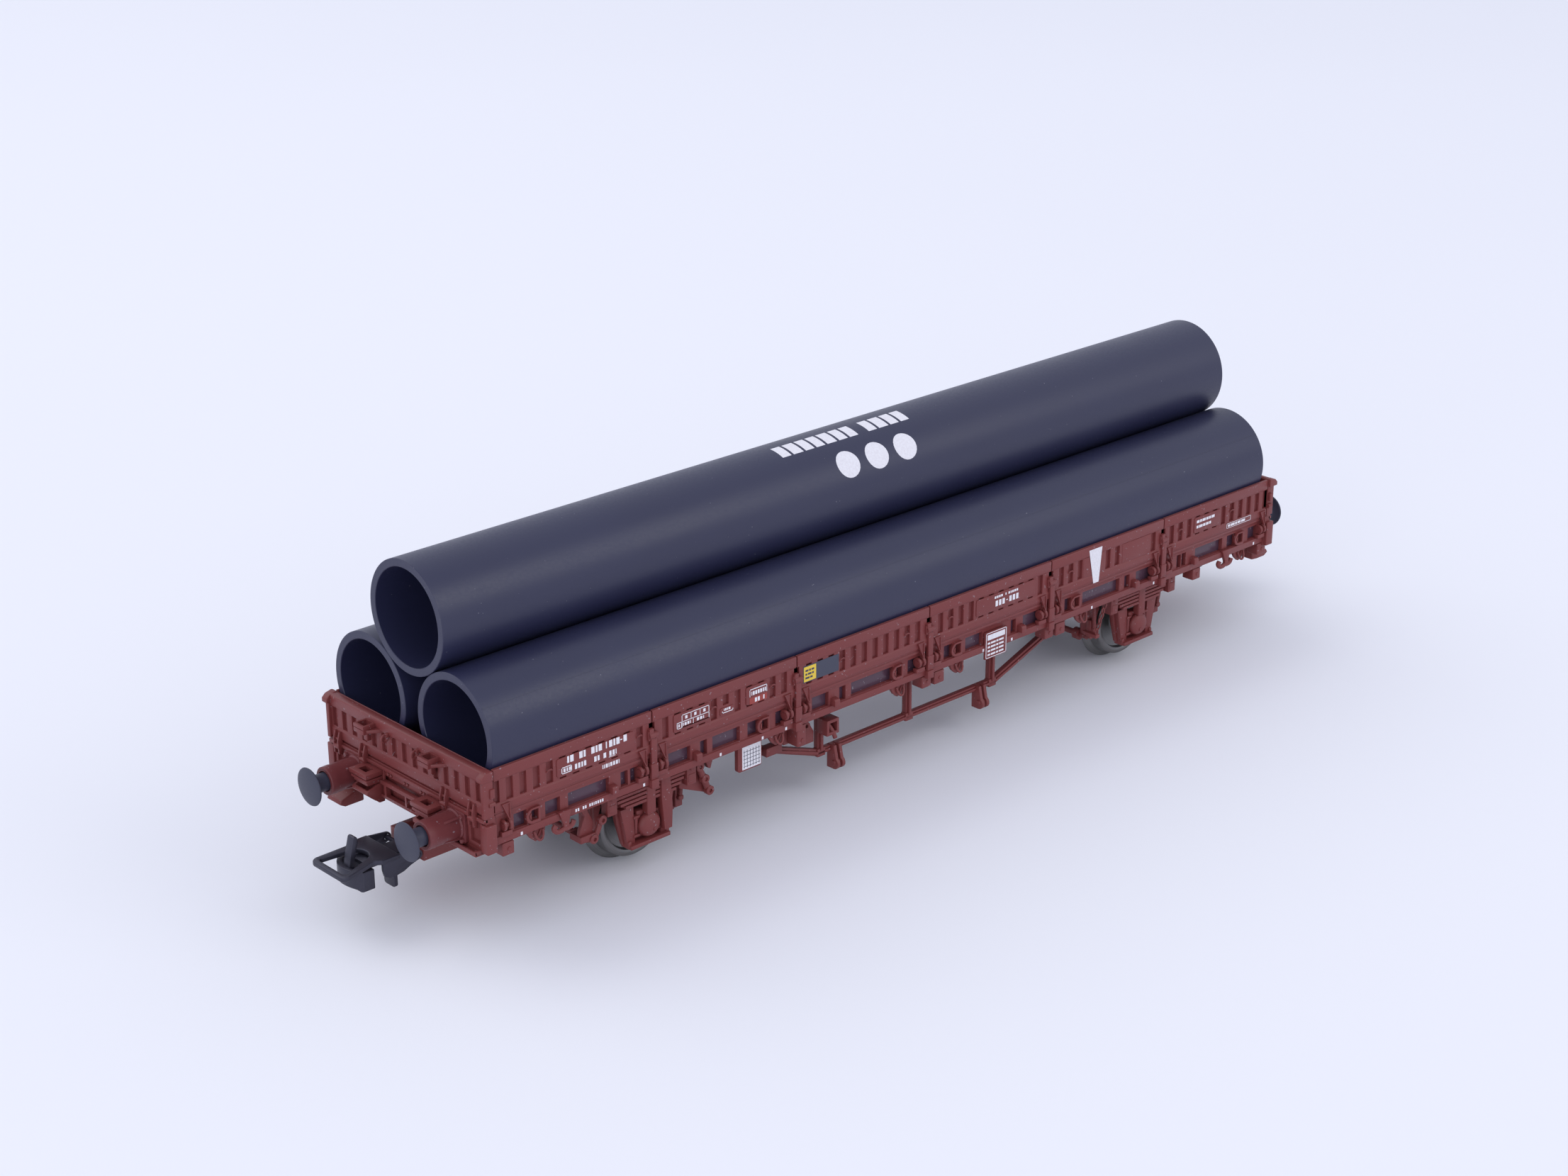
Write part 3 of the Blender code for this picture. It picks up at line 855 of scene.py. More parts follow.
@dataclass
class DropSides(Assembly):
    """Six drop-side panels a side, with their slots, stiffening plates, staples and hinges."""

    inner: float = 15.0
    slat_face: float = 15.5
    rail_face: float = 15.6
    lip_face: float = 15.42
    foot: float = 16.95
    top: float = 22.7
    slot_low: float = 18.36
    slot_high: float = 21.12
    slot_width: float = 0.98
    slot_pitch: float = 1.945
    slot_depth: float = 0.42
    end_notch: float = 0.34
    slots_inside: int = 11
    slots_at_end: int = 12
    end_slot: float = 70.72
    panel_gap: float = 0.1

    PLATES = {
        1: ((-61.95, -50.15),), 2: ((-44.05, -38.25), (-32.3, -28.7)), 4: ((8.9, 20.5),), 6: ((54.3, 60.3),),
    }
    FLUSH_PLATES = {5: ((30.4, 34.7), (38.6, 44.6))}
    SHORT_SLOTS = {2: -35.5}
    STAPLES = {1: (4, 11), 2: (4, 9), 3: (3, 9), 4: (1,), 5: (1,), 6: (1, 7)}

    def slot_centre(self, panel: int, slot: int) -> float:
        """Middle of a slot; the end panels hold one more slot than the others.

        Args:
            panel: 1 at the front end to 6 at the rear.
            slot: 0 at the front of the panel.

        Returns:
            Its place along the wagon.
        """
        if panel == 1:
            return -self.end_slot + self.slot_pitch * slot
        if panel == PANELS:
            return self.end_slot - self.slot_pitch * (self.slots_at_end - 1 - slot)
        middle = (panel - (PANELS + 1) / 2) * PANEL_PITCH
        return middle + self.slot_pitch * (slot - (self.slots_inside - 1) / 2)

    def section(self) -> list[Point]:
        """Section of a panel: lip, lower rail, slats and the round top rail.

        Returns:
            The outline as (y, z).
        """
        rail_low, rail_high, top_low = 17.3, 18.26, 21.2
        points = [(self.inner, self.foot), (self.lip_face, self.foot), (self.lip_face, rail_low - 0.12)]
        points += [(self.rail_face, rail_low), (self.rail_face, rail_high - 0.16)]
        points += [(self.slat_face, rail_high), (self.slat_face, top_low), (self.rail_face, top_low + 0.08)]
        points += arc((self.rail_face - 0.16, self.top - 0.2), 0.16, 0, 80, 3)
        points += [(self.inner + 0.3, self.top - 0.03), (self.inner + 0.28, self.top - 0.1)]
        points += [(self.inner + 0.22, self.top - 0.1), (self.inner + 0.2, self.top - 0.02)]
        points += [(self.inner + 0.15, self.top - 0.05), (self.inner + 0.13, 22.26), (self.inner, 22.2)]
        return [(-y, z) for y, z in points]

    def plate(self, left: float, right: float, low: float = 18.6, high: float = 20.98, face: float = 15.6,
              radius: float = 0.3) -> Item:
        """Stiffening plate with rounded corners in front of the slats."""
        points = rounded((left, low), (right, high), radius)
        return bench.slab(points, Plane.SIDE, -self.lip_face, -face, 0.04)

    def staple(self, x: float) -> Item:
        """Small lashing staple that spans a slot.

        Args:
            x: Middle of the slot.

        Returns:
            The staple.
        """
        low, high = 19.75, 20.15
        route = [(x - 0.5, -self.lip_face, low), (x - 0.28, -15.66, high - 0.05)]
        route += [(x + 0.05, -15.7, high), (x + 0.42, -self.lip_face, low + 0.08)]
        return bench.rod(route, 0.1, sides=1)

    def panel(self, number: int) -> Item:
        """Model one panel.

        Args:
            number: 1 at the front end to 6 at the rear.

        Returns:
            The panel with everything that is moulded on it.
        """
        left = PANELS_START + (number - 1) * PANEL_PITCH + self.panel_gap
        right = left + PANEL_PITCH - 2 * self.panel_gap
        wall = bench.outline(self.section(), Plane.END, left, right)
        flush = self.FLUSH_PLATES.get(number, ())
        count = self.slots_at_end if number in (1, PANELS) else self.slots_inside
        half = self.slot_width / 2
        patches = []
        for slot in range(count):
            x = self.slot_centre(number, slot)
            if any(low - half < x < high + half for low, high in flush):
                continue
            short = number in self.SHORT_SLOTS and abs(x - self.SHORT_SLOTS[number]) < half
            patches.append(((x - half, x + half), (19.8 if short else self.slot_low, self.slot_high)))
        if number != 1:
            patches.append(((left, left + self.end_notch), (self.slot_low, self.slot_high)))
        if number != PANELS:
            patches.append(((right - self.end_notch, right), (self.slot_low, self.slot_high)))
        bench.sink(wall, (0, -1, 0), patches, self.slot_depth)
        parts = [bench.soften(wall, 0.035)]
        parts += [self.plate(low, high) for low, high in self.PLATES.get(number, ())]
        parts += [self.plate(low, high, 18.3, 21.14, 15.545, 0.08) for low, high in flush]
        if number in self.SHORT_SLOTS:
            parts.append(self.plate(-36.6, -34.3, 18.5, 19.5, self.rail_face, 0.25))
        parts += [self.staple(self.slot_centre(number, slot)) for slot in self.STAPLES[number]]
        return bench.join(*parts)

    def hinge(self) -> Item:
        """Model one hinge, at X = 0.

        Returns:
            A tapered strap over two knuckles with their pin and stop.
        """
        knuckle_height, pin_front = 15.25, -15.42
        shape = [(0.0, 18.12), (1.18, 18.12), (1.24, 15.9), (1.0, 15.9)]
        strap = bench.outline(shape, Plane.SIDE, -15.5, -15.86)
        bench.edit(strap, everything=False)
        bench.pick(strap, lambda face: face.normal.y < -0.9)
        bpy.ops.mesh.inset(thickness=0.13)
        bpy.ops.mesh.extrude_region_move(TRANSFORM_OT_translate={"value": (0.0, 0.14, 0.0)})
        bench.leave()
        parts = [bench.soften(strap, 0.03)]
        drum = [(0.0, 0.0), (0.62, 0.0), (0.72, 0.08), (0.72, 0.3), (0.62, 0.38), (0.0, 0.38)]
        for x in (0.18, 0.98):
            parts.append(bench.turned(drum, (x, -15.36, knuckle_height), 0, 28))
        pin = [(0.0, 0.0), (0.36, 0.0), (0.36, 1.36), (0.0, 1.36)]
        parts.append(bench.turned(pin, (0.1, pin_front, knuckle_height), 0, 20))
        parts.append(bench.block((-0.1, -15.72, 13.9), (1.45, -15.0, 14.5), 0.06))
        return bench.join(*parts)

    def build(self) -> None:
        """Build every panel, its hinges and their twins."""
        pattern = self.hinge()
        for number in range(1, PANELS + 1):
            nodes = (f"side_panel_left_{number}",)
            name = f"drop_side_left_{number}"
            self.keep(self.panel(number), name, RED_BROWN, "wagon", nodes, count=PANELS)
            left_post = PANELS_START + (number - 1) * PANEL_PITCH
            first = -70.2 if number == 1 else left_post + 0.8
            last = 69.45 if number == PANELS else left_post + PANEL_PITCH - 2.3
            pair = [bench.shift(pattern, x) for x in (first, last)]
            self.keep(bench.join(*pair), f"hinges_left_{number}", RED_BROWN, count=PANELS)
        bpy.data.objects.remove(pattern, do_unlink=True)


@dataclass
class SoleBars(Assembly):
    """Side members with their windows, stake pockets, posts, knobs, hooks and label holder."""

    back: float = 13.85
    web_face: float = 15.12
    flange_face: float = 15.4
    half_length: float = 70.85
    bottom: float = 13.0
    flange_top: float = 13.92
    top: float = 16.88
    window_low: float = 13.98
    window_high: float = 15.95
    window_reach: float = 0.3

    WINDOWS = (
        (-68.1, -66.5), (-63.5, -61.6), (-60.1, -54.2), (-52.1, -51.3), (-50.6, -49.8), (-44.6, -41.4),
        (-39.5, -38.7), (-37.5, -33.3), (-31.7, -30.1), (-27.0, -25.6), (-20.7, -18.1), (-15.9, -15.1),
        (-13.8, -6.5), (-3.5, -1.5), (3.3, 4.6), (7.4, 10.4), (16.3, 17.0), (18.7, 22.0), (27.2, 28.2),
        (30.9, 38.4), (39.8, 40.6), (42.3, 45.9), (51.3, 51.9), (52.4, 53.0), (55.4, 61.3), (62.7, 64.4),
        (67.6, 69.4),
    )
    POCKETS = (-65.35, -29.15, -5.5, 5.6, 29.3, 65.35)
    KNOBS = (-53.55, -40.3, -17.0, 18.1, 41.75, 54.8)

    def stake_hole(self, x: float, inner: float, outer: float) -> Item:
        """Solid that cuts a pocket's square hole."""
        return bench.block((x - 0.35, -outer, 14.35), (x + 0.65, -inner, 15.7))

    def bar(self) -> Item:
        """Channel-shaped bar with its windows cut through.

        Returns:
            The bar.
        """
        face, web = self.flange_face, self.web_face
        section = [(self.back, self.bottom), (face, self.bottom), (face, self.flange_top)]
        section += [(web, self.flange_top + 0.06), (web, 16.42), (web + 0.2, 16.5), (web + 0.2, self.top)]
        section.append((self.back, self.top))
        item = bench.outline([(-y, z) for y, z in section], Plane.END, -self.half_length, self.half_length)
        low_z, high_z = self.window_low, self.window_high
        tools = [
            bench.block((low, -16.5, low_z), (high + self.window_reach, -13.0, high_z))
            for low, high in self.WINDOWS
        ]
        tools += [self.stake_hole(x, 13.0, 16.5) for x in self.POCKETS]
        bench.cut(item, *tools)
        return bench.soften(item, 0.035)

    def pocket(self, x: float) -> Item:
        """Stake pocket: a frame with a round back around a square hole.

        Args:
            x: Its place along the wagon.

        Returns:
            The pocket.
        """
        low, high = self.window_low - 0.02, self.window_high - 0.02
        middle = (x - 0.15, (low + high) / 2)
        outside = [(x + 0.95, low), (x + 0.95, high)] + arc(middle, (high - low) / 2, 90, 270, 10)
        item = bench.outline(outside, Plane.SIDE, -15.0, -15.42)
        bench.cut(item, self.stake_hole(x, 14.0, 16.0))
        groove = arc(middle, 0.62, 95, 265, 8) + arc(middle, 0.48, 265, 95, 8)
        bench.cut(item, bench.outline(groove, Plane.SIDE, -15.3, -16.0))
        return bench.soften(item, 0.035)

    def knob(self, x: float) -> Item:
        """Rest block for a lowered side, rounded on top.

        Args:
            x: Its place along the wagon.

        Returns:
            The block.
        """
        section = [(14.9, 13.9), (15.98, 13.9), (15.98, 14.6)]
        section += arc((15.7, 14.6), 0.28, 10, 90, 3) + [(14.9, 14.95)]
        return bench.slab([(-y, z) for y, z in section], Plane.END, x - 0.45, x + 0.45)

    def post(self) -> Item:
        """Post between two panels: foot, socket, strap and latch, at X = 0.

        Returns:
            The post.
        """
        parts = [
            bench.block((-0.5, -15.95, 12.6), (0.62, -14.9, 13.75), 0.07),
            bench.block((-0.4, -15.8, 13.7), (0.52, -14.9, 14.1), 0.04),
            bench.block((-0.5, -15.92, 14.05), (0.62, -15.0, 15.85), 0.07),
            bench.block((-0.38, -15.85, 15.8), (0.5, -15.3, 19.2), 0.05),
            bench.block((-0.62, -15.9, 19.5), (0.05, -15.35, 20.5), 0.08),
            bench.block((-0.72, -15.78, 18.95), (-0.4, -15.3, 20.2), 0.06),
        ]
        latch = [(0.0, -0.62), (0.36, -0.62), (0.42, -0.54), (0.42, 0.5), (0.3, 0.74), (0.0, 0.82)]
        parts.append(bench.turned(latch, (0.0, -15.66, 19.55), 0, 24))
        parts.append(bench.block((0.2, -16.0, 19.15), (0.66, -15.5, 19.4), 0.05))
        return bench.join(*parts)

    def double_hook(self, x: float) -> Item:
        """Rope hook with two horns under the flange.

        Args:
            x: Its place along the wagon.

        Returns:
            The hook.
        """
        stem = [(-0.95, 14.15), (0.95, 14.15), (0.62, 12.9), (0.55, 12.4), (-0.2, 12.3), (-0.45, 12.9)]
        parts = [bench.slab([(x + u, v) for u, v in stem], Plane.SIDE, -15.2, -15.7, 0.06)]
        horn = [(-1.35, 12.62), (-1.62, 12.25), (-1.35, 11.85), (-0.75, 11.7)]
        horn += [(-0.1, 11.85), (0.5, 11.8), (1.1, 12.05), (1.3, 12.5)]
        parts.append(bench.rod([(x + u, -15.5, v) for u, v in horn], 0.34, sides=3))
        parts.append(bench.block((x - 0.3, -15.72, 11.75), (x + 0.55, -15.25, 12.7), 0.1))
        return bench.join(*parts)

    def lashing_ring(self, x: float) -> Item:
        """Lashing bracket under the flange: a rounded cheek with a three-cornered eye.

        Args:
            x: Its place along the wagon.

        Returns:
            The bracket with its ring.
        """
        cheek = [(-1.5, 13.55), (1.3, 13.55), (1.25, 12.2), (0.6, 11.3)]
        cheek += [(-0.2, 11.15), (-0.9, 11.75), (-1.3, 12.4)]
        item = bench.outline([(x + u, v) for u, v in cheek], Plane.SIDE, -14.3, -14.75)
        eye = [(-0.35, 12.75), (0.75, 12.75), (0.15, 11.75)]
        bench.cut(item, bench.outline([(x + u, v) for u, v in eye], Plane.SIDE, -14.55, -15.2))
        back = bench.block((x - 1.4, -14.4, 12.3), (x + 0.9, -13.2, 13.55), 0.1)
        ring = [(x - 0.45, -14.8, 12.6), (x - 0.2, -15.05, 11.7), (x + 0.3, -15.1, 11.35)]
        ring += [(x + 0.75, -15.0, 11.8), (x + 0.85, -14.8, 12.5)]
        return bench.join(bench.soften(item, 0.05), back, bench.rod(ring, 0.16))

    def stake_block(self, x: float, width: float = 1.7, low: float = 11.1) -> Item:
        """Stake block under the flange with a pin head on its face.

        Args:
            x: Its middle along the wagon.
            width: Its width.
            low: Height of its foot.

        Returns:
            The block.
        """
        half = width / 2
        block = bench.block((x - half, -15.25, low), (x + half, -13.3, 12.8), 0.16, 3)
        neck = bench.block((x - half + 0.2, -14.8, 12.6), (x + half - 0.2, -13.9, 13.7))
        pin = [(0.0, 0.0), (0.28, 0.0), (0.24, -0.12), (0.0, -0.16)]
        return bench.join(block, neck, bench.turned(pin, (x + 0.1, -15.22, low + 0.8), 1, 16))

    def label_holder(self) -> Item:
        """Wire label holder on its backing plate.

        Returns:
            The holder.
        """
        back = bench.outline(rounded((-32.2, 8.75), (-28.2, 12.5), 0.35), Plane.SIDE, -13.2, -13.85)
        arm = bench.block((-31.6, -13.6, 12.3), (-28.8, -13.0, 13.7), 0.08)
        return bench.join(bench.soften(back, 0.05), arm)

    def build(self) -> None:
        """Build the bar with all that is on it, and the twin on the other side."""
        parts = [self.bar()]
        parts += [self.pocket(x) for x in self.POCKETS]
        parts += [self.knob(x) for x in self.KNOBS]
        self.keep(bench.join(*parts), "sole_bar_frame_left", RED_BROWN, "wagon", ("sole_bar_left",))
        pattern = self.post()
        for number in range(1, PANELS):
            x = PANELS_START + number * PANEL_PITCH
            self.keep(bench.shift(pattern, x), f"post_left_{number}", RED_BROWN, count=PANELS - 1)
        bpy.data.objects.remove(pattern, do_unlink=True)
        # Sheet behind the windows, which hides the ballast; its purple tint is a painted reflection.
        panel = bench.block((-68.6, -14.5, 13.6), (69.9, -14.2, 16.05))
        self.keep(panel, "window_backing_left", REFLECTION_PAINTED_BROWN)
        hooks = bench.join(self.double_hook(-61.0), self.double_hook(62.1))
        self.keep(hooks, "rope_hooks_left", RED_BROWN)
        rings = [self.lashing_ring(x) for x in (-64.6, -26.4, -4.8, 6.3, 31.3, 66.3)]
        self.keep(bench.join(*rings), "lashing_rings_left", RED_BROWN)
        blocks = [self.stake_block(x) for x in (-69.1, 0.0, 24.1, 55.9)]
        blocks += [self.stake_block(x, 1.9, 11.0) for x in (2.4, 26.4, 71.0)]
        blocks.append(self.stake_block(-22.6, 1.5, 9.9))
        self.keep(bench.join(*blocks), "stake_blocks_left", RED_BROWN)
        self.keep(self.label_holder(), "label_holder_left", RED_BROWN)


@dataclass
class Deck(Assembly):
    """Planked floor of the wagon."""

    half_length: float = 71.0
    half_width: float = 14.9
    low: float = 16.95
    high: float = 17.9
    pitch: float = 3.0
    joint: float = 0.16

    def build(self) -> None:
        """Build the floor with a joint between each two planks."""
        points = [(-self.half_length, self.low), (-self.half_length, self.high)]
        for number in range(-23, 24):
            x = number * self.pitch
            points += [(x - self.joint, self.high), (x - self.joint / 2, self.high - 0.16)]
            points += [(x + self.joint / 2, self.high - 0.16), (x + self.joint, self.high)]
        points += [(self.half_length, self.high), (self.half_length, self.low)]
        item = bench.outline(points, Plane.SIDE, -self.half_width, self.half_width)
        self.keep(item, "planked_floor", RED_BROWN, "wagon", ("floor_deck",), twin=False)


@dataclass
class EndBoard(Assembly):
    """End wall with slots, stanchion cups, corner posts and the brackets at its foot."""

    inner: float = 71.22
    slat_face: float = 72.3
    rail_face: float = 72.45
    half_width: float = 15.6
    top: float = 22.7
    slots: int = 15
    slot_pitch: float = 2.04

    def wall(self) -> Item:
        """Model the wall with its slots.

        Returns:
            The wall.
        """
        points = [(self.inner, 16.95), (72.15, 16.95), (72.15, 17.2), (self.rail_face, 17.3)]
        points += [(self.rail_face, 18.4), (self.slat_face, 18.56), (self.slat_face, 21.2)]
        points += [(self.rail_face, 21.28), (self.rail_face, 22.4), (72.38, 22.54), (72.2, 22.64)]
        points += [(71.55, self.top), (71.5, 22.6), (71.42, 22.6), (71.38, self.top), (self.inner, 22.6)]
        item = bench.outline([(-x, z) for x, z in points], Plane.SIDE, -self.half_width, self.half_width)
        patches = []
        for number in range(self.slots):
            y = self.slot_pitch * (number - (self.slots - 1) / 2)
            patches.append(((y - 0.47, y + 0.47), (18.66, 21.12)))
        bench.sink(item, (-1, 0, 0), patches, 0.45)
        return bench.soften(item, 0.035)

    def cup(self, y: float) -> Item:
        """Stanchion cup: a thick rim with a slot in it, on a short bracket.

        Args:
            y: Its place across the wagon.

        Returns:
            The cup.
        """
        item = bench.block((-74.2, y - 1.0, 20.85), (-72.2, y + 1.05, 21.95), 0.07)
        bench.cut(item, bench.block((-73.85, y - 0.68, 20.5), (-72.6, y + 0.72, 22.5)))
        bench.cut(item, bench.block((-75.0, y - 2.0, 21.42), (-74.12, y + 2.0, 21.52)))
        wing = bench.outline([(-72.2, y - 2.15), (-72.2, y - 0.9), (-73.9, y - 0.9)], Plane.FLAT, 20.95, 21.4)
        leg = bench.block((-72.85, y + 0.25, 19.3), (-72.2, y + 1.0, 21.0), 0.05)
        return bench.join(item, bench.soften(wing, 0.05), leg)

    def eye(self, y: float) -> Item:
        """Lashing ring held by a small staple.

        Args:
            y: Its place across the wagon.

        Returns:
            The ring.
        """
        ring = [(-72.95 + 0.42 * u, y, 20.95 + 0.42 * v) for u, v in arc((0.0, 0.0), 1.0, 0, 315, 7)]
        plate = bench.block((-72.85, y - 0.26, 21.05), (-72.2, y + 0.26, 21.5), 0.07)
        return bench.join(bench.rod(ring, 0.15, closed=True), plate)

    def bracket(self, y: float) -> Item:
        """Hinge bracket at the foot of the wall: two ribs with a drum between them.

        Args:
            y: Its place across the wagon.

        Returns:
            The bracket.
        """
        parts = []
        for shift in (-0.55, 0.35):
            points = [(-72.3, 18.35), (-72.75, 18.35), (-73.05, 17.2), (-72.95, 15.5), (-72.3, 15.2)]
            parts.append(bench.slab(points, Plane.SIDE, y + shift, y + shift + 0.24, 0.04))
        drum = [(0.0, -0.5), (0.3, -0.5), (0.36, -0.42), (0.36, 0.5), (0.3, 0.58), (0.0, 0.58)]
        parts.append(bench.turned(drum, (-72.72, y, 16.4), 1, 20))
        parts.append(bench.block((-72.8, y - 0.5, 17.2), (-72.2, y + 0.55, 17.5), 0.05))
        return bench.join(*parts)

    def corner(self, side: float) -> Item:
        """Corner post that ties the end wall to the side wall.

        Args:
            side: -1 for the left corner, 1 for the right one.

        Returns:
            The post with its cap, catch, pin and foot block.
        """
        low, high = sorted((side * 14.9, side * 15.85))
        post = bench.block((-72.75, low, 16.98), (-71.32, high - 0.35, 22.2), 0.1, 3)
        tip = [(-72.98, 21.55), (-72.98, 22.1), (-72.5, 22.55)]
        tip += [(-71.6, 22.78), (-71.28, 22.7), (-71.28, 21.55)]
        cap = bench.slab(tip, Plane.SIDE, low - 0.06, high + 0.06, 0.1, 3)
        catch = bench.block((-71.9, side * 15.5, 19.4), (-71.25, side * 16.05, 20.6), 0.1)
        spindle = [(0.0, -0.42), (0.3, -0.42), (0.34, 0.0), (0.3, 0.42), (0.0, 0.42)]
        pin = bench.turned(spindle, (-71.6, side * 15.72, 18.6), 0, 16)
        foot = bench.block((-72.6, side * 14.7, 12.42), (-71.12, side * 15.95, 16.05), 0.12, 3)
        return bench.join(post, cap, catch, pin, foot)

    def build(self) -> None:
        """Build the front wall and its twin."""
        parts = [self.wall()]
        parts += [self.cup(y) for y in (-6.3, 6.5)]
        parts += [self.eye(y) for y in (-3.0, 3.0)]
        self.keep(bench.join(*parts), "end_wall_front", RED_BROWN, "wagon", ("end_board_front",))
        brackets = [self.bracket(y) for y in (-13.4, -8.1, 8.1, 13.4)]
        self.keep(bench.join(*brackets), "end_hinges_front", RED_BROWN)
        corners = [self.corner(side) for side in (-1.0, 1.0)]
        self.keep(bench.join(*corners), "corner_posts_front", RED_BROWN)


@dataclass
class Headstock(Assembly):
    """End member of the frame with its sockets, grille, foot step and shunter's rail."""

    inner: float = 70.95
    face: float = 72.3
    half_width: float = 15.45
    low: float = 12.4
    high: float = 16.88

    def beam(self) -> Item:
        """Beam with a recess between the buffers and stepped edges.

        Returns:
            The beam.
        """
        low, high = (-self.face, -self.half_width, self.low), (-self.inner, self.half_width, self.high)
        item = bench.block(low, high)
        patches = [((-5.7, 5.7), (12.75, 15.5)), ((-14.2, -12.4), (13.2, 15.9)), ((12.4, 14.2), (13.2, 15.9))]
        bench.sink(item, (-1, 0, 0), patches, 0.5)
        lip = bench.block((-72.62, -self.half_width, 16.3), (-72.0, self.half_width, 16.75), 0.05)
        return bench.join(bench.soften(item, 0.05), lip)

    def grille(self) -> Item:
        """Ladder across the middle of the beam.

        Returns:
            The ladder with its rivets.
        """
        item = bench.block((-72.85, -5.2, 12.75), (-72.2, 5.2, 15.0), 0.05)
        spans = ((-4.85, -0.6), (-0.3, 3.5), (3.85, 4.85))
        bench.cut(item, *[bench.block((-74.0, a, 13.15), (-71.9, b, 14.5)) for a, b in spans])
        parts = [item]
        stud = [(0.0, 0.0), (0.2, 0.0), (0.2, -0.16), (0.12, -0.24), (0.0, -0.26)]
        for y in (-3.6, -3.0, -0.3, 0.3, 3.0, 3.6):
            parts.append(bench.turned(stud, (-72.25, y, 15.85), 0, 12))
        return bench.join(*parts)

    def socket(self, y: float) -> Item:
        """Stanchion socket: two slotted slabs over an open scoop.

        Args:
            y: Its place across the wagon.

        Returns:
            The socket.
        """
        parts = []
        for front, half, low, high, edge in (
            (-75.0, 1.75, 15.62, 16.2, 0.07),
            (-74.85, 1.6, 15.05, 15.42, 0.07),
            (-74.6, 1.4, 14.6, 15.7, 0.05),
        ):
            layer = bench.block((front, y - half, low), (-72.1, y + half, high), edge)
            parts.append(bench.cut(layer, bench.block((-74.3, y - 0.75, 14.0), (-73.2, y + 0.75, 17.0))))
        points = [(-72.1, 14.5), (-73.3, 14.5), (-74.8, 13.9), (-74.85, 13.5), (-73.7, 12.5), (-72.1, 12.3)]
        scoop = bench.outline(points, Plane.SIDE, y - 1.6, y + 1.6)
        bench.cut(scoop, bench.block((-74.5, y - 1.25, 13.2), (-72.9, y + 1.25, 15.0)))
        parts.append(bench.soften(scoop, 0.07))
        lug = [(-72.0, 12.6), (-73.2, 12.6), (-73.2, 12.1), (-72.8, 11.75), (-72.0, 11.75)]
        parts.append(bench.slab(lug, Plane.SIDE, y - 1.15, y + 1.15, 0.12, 3))
        parts.append(bench.block((-72.5, y - 1.9, 12.6), (-72.2, y + 1.9, 16.5), 0.05))
        return bench.join(*parts)

    def rail(self) -> Item:
        """Grooved shunter's rail under the beam, on the left of the front end.

        Returns:
            The rail.
        """
        section = [(-71.5, 12.6), (-71.5, 11.8), (-73.1, 11.8), (-73.25, 11.95), (-73.25, 12.5)]
        section += [(-72.95, 12.5), (-72.9, 12.1), (-72.35, 12.1), (-72.3, 12.6)]
        parts = [bench.slab(section, Plane.SIDE, -14.3, -8.9, 0.08, 3)]
        for y in (-14.3, -9.2):
            parts.append(bench.block((-73.2, y, 11.9), (-71.5, y + 0.35, 12.55), 0.1))
        return bench.join(*parts)

    def step(self) -> Item:
        """Shell-shaped foot step on a braced strut, on the right of the front end.

        Returns:
            The step.
        """
        brace = [(-71.1, 12.6), (-71.9, 12.6), (-72.1, 10.0), (-71.1, 9.6)]
        strut = bench.outline(brace, Plane.SIDE, 11.3, 13.1)
        points = [(-71.2, 11.2), (-72.2, 11.2), (-74.4, 10.45), (-74.7, 9.95), (-73.9, 9.5), (-71.2, 9.5)]
        shell = bench.outline(points, Plane.SIDE, 10.8, 13.7)
        for outer, root, tip in ((9.0, 10.8, 10.0), (15.0, 13.4, 14.1)):
            waste = [(-70.8, outer), (-70.8, root), (-74.0, tip), (-74.0, outer)]
            bench.cut(shell, bench.outline(waste, Plane.FLAT, 8.9, 11.2))
        return bench.join(bench.soften(strut, 0.05), bench.soften(shell, 0.16, 3))

    def build(self) -> None:
        """Build the front beam with its fittings, and the twin."""
        sockets = [self.socket(y) for y in (-6.15, 6.15)]
        item = bench.join(self.beam(), self.grille(), *sockets)
        self.keep(item, "end_beam_front", RED_BROWN, "wagon", ("headstock_front",))
        self.keep(self.rail(), "shunter_rail_front_left", RED_BROWN)
        self.keep(self.step(), "foot_step_front_right", RED_BROWN)


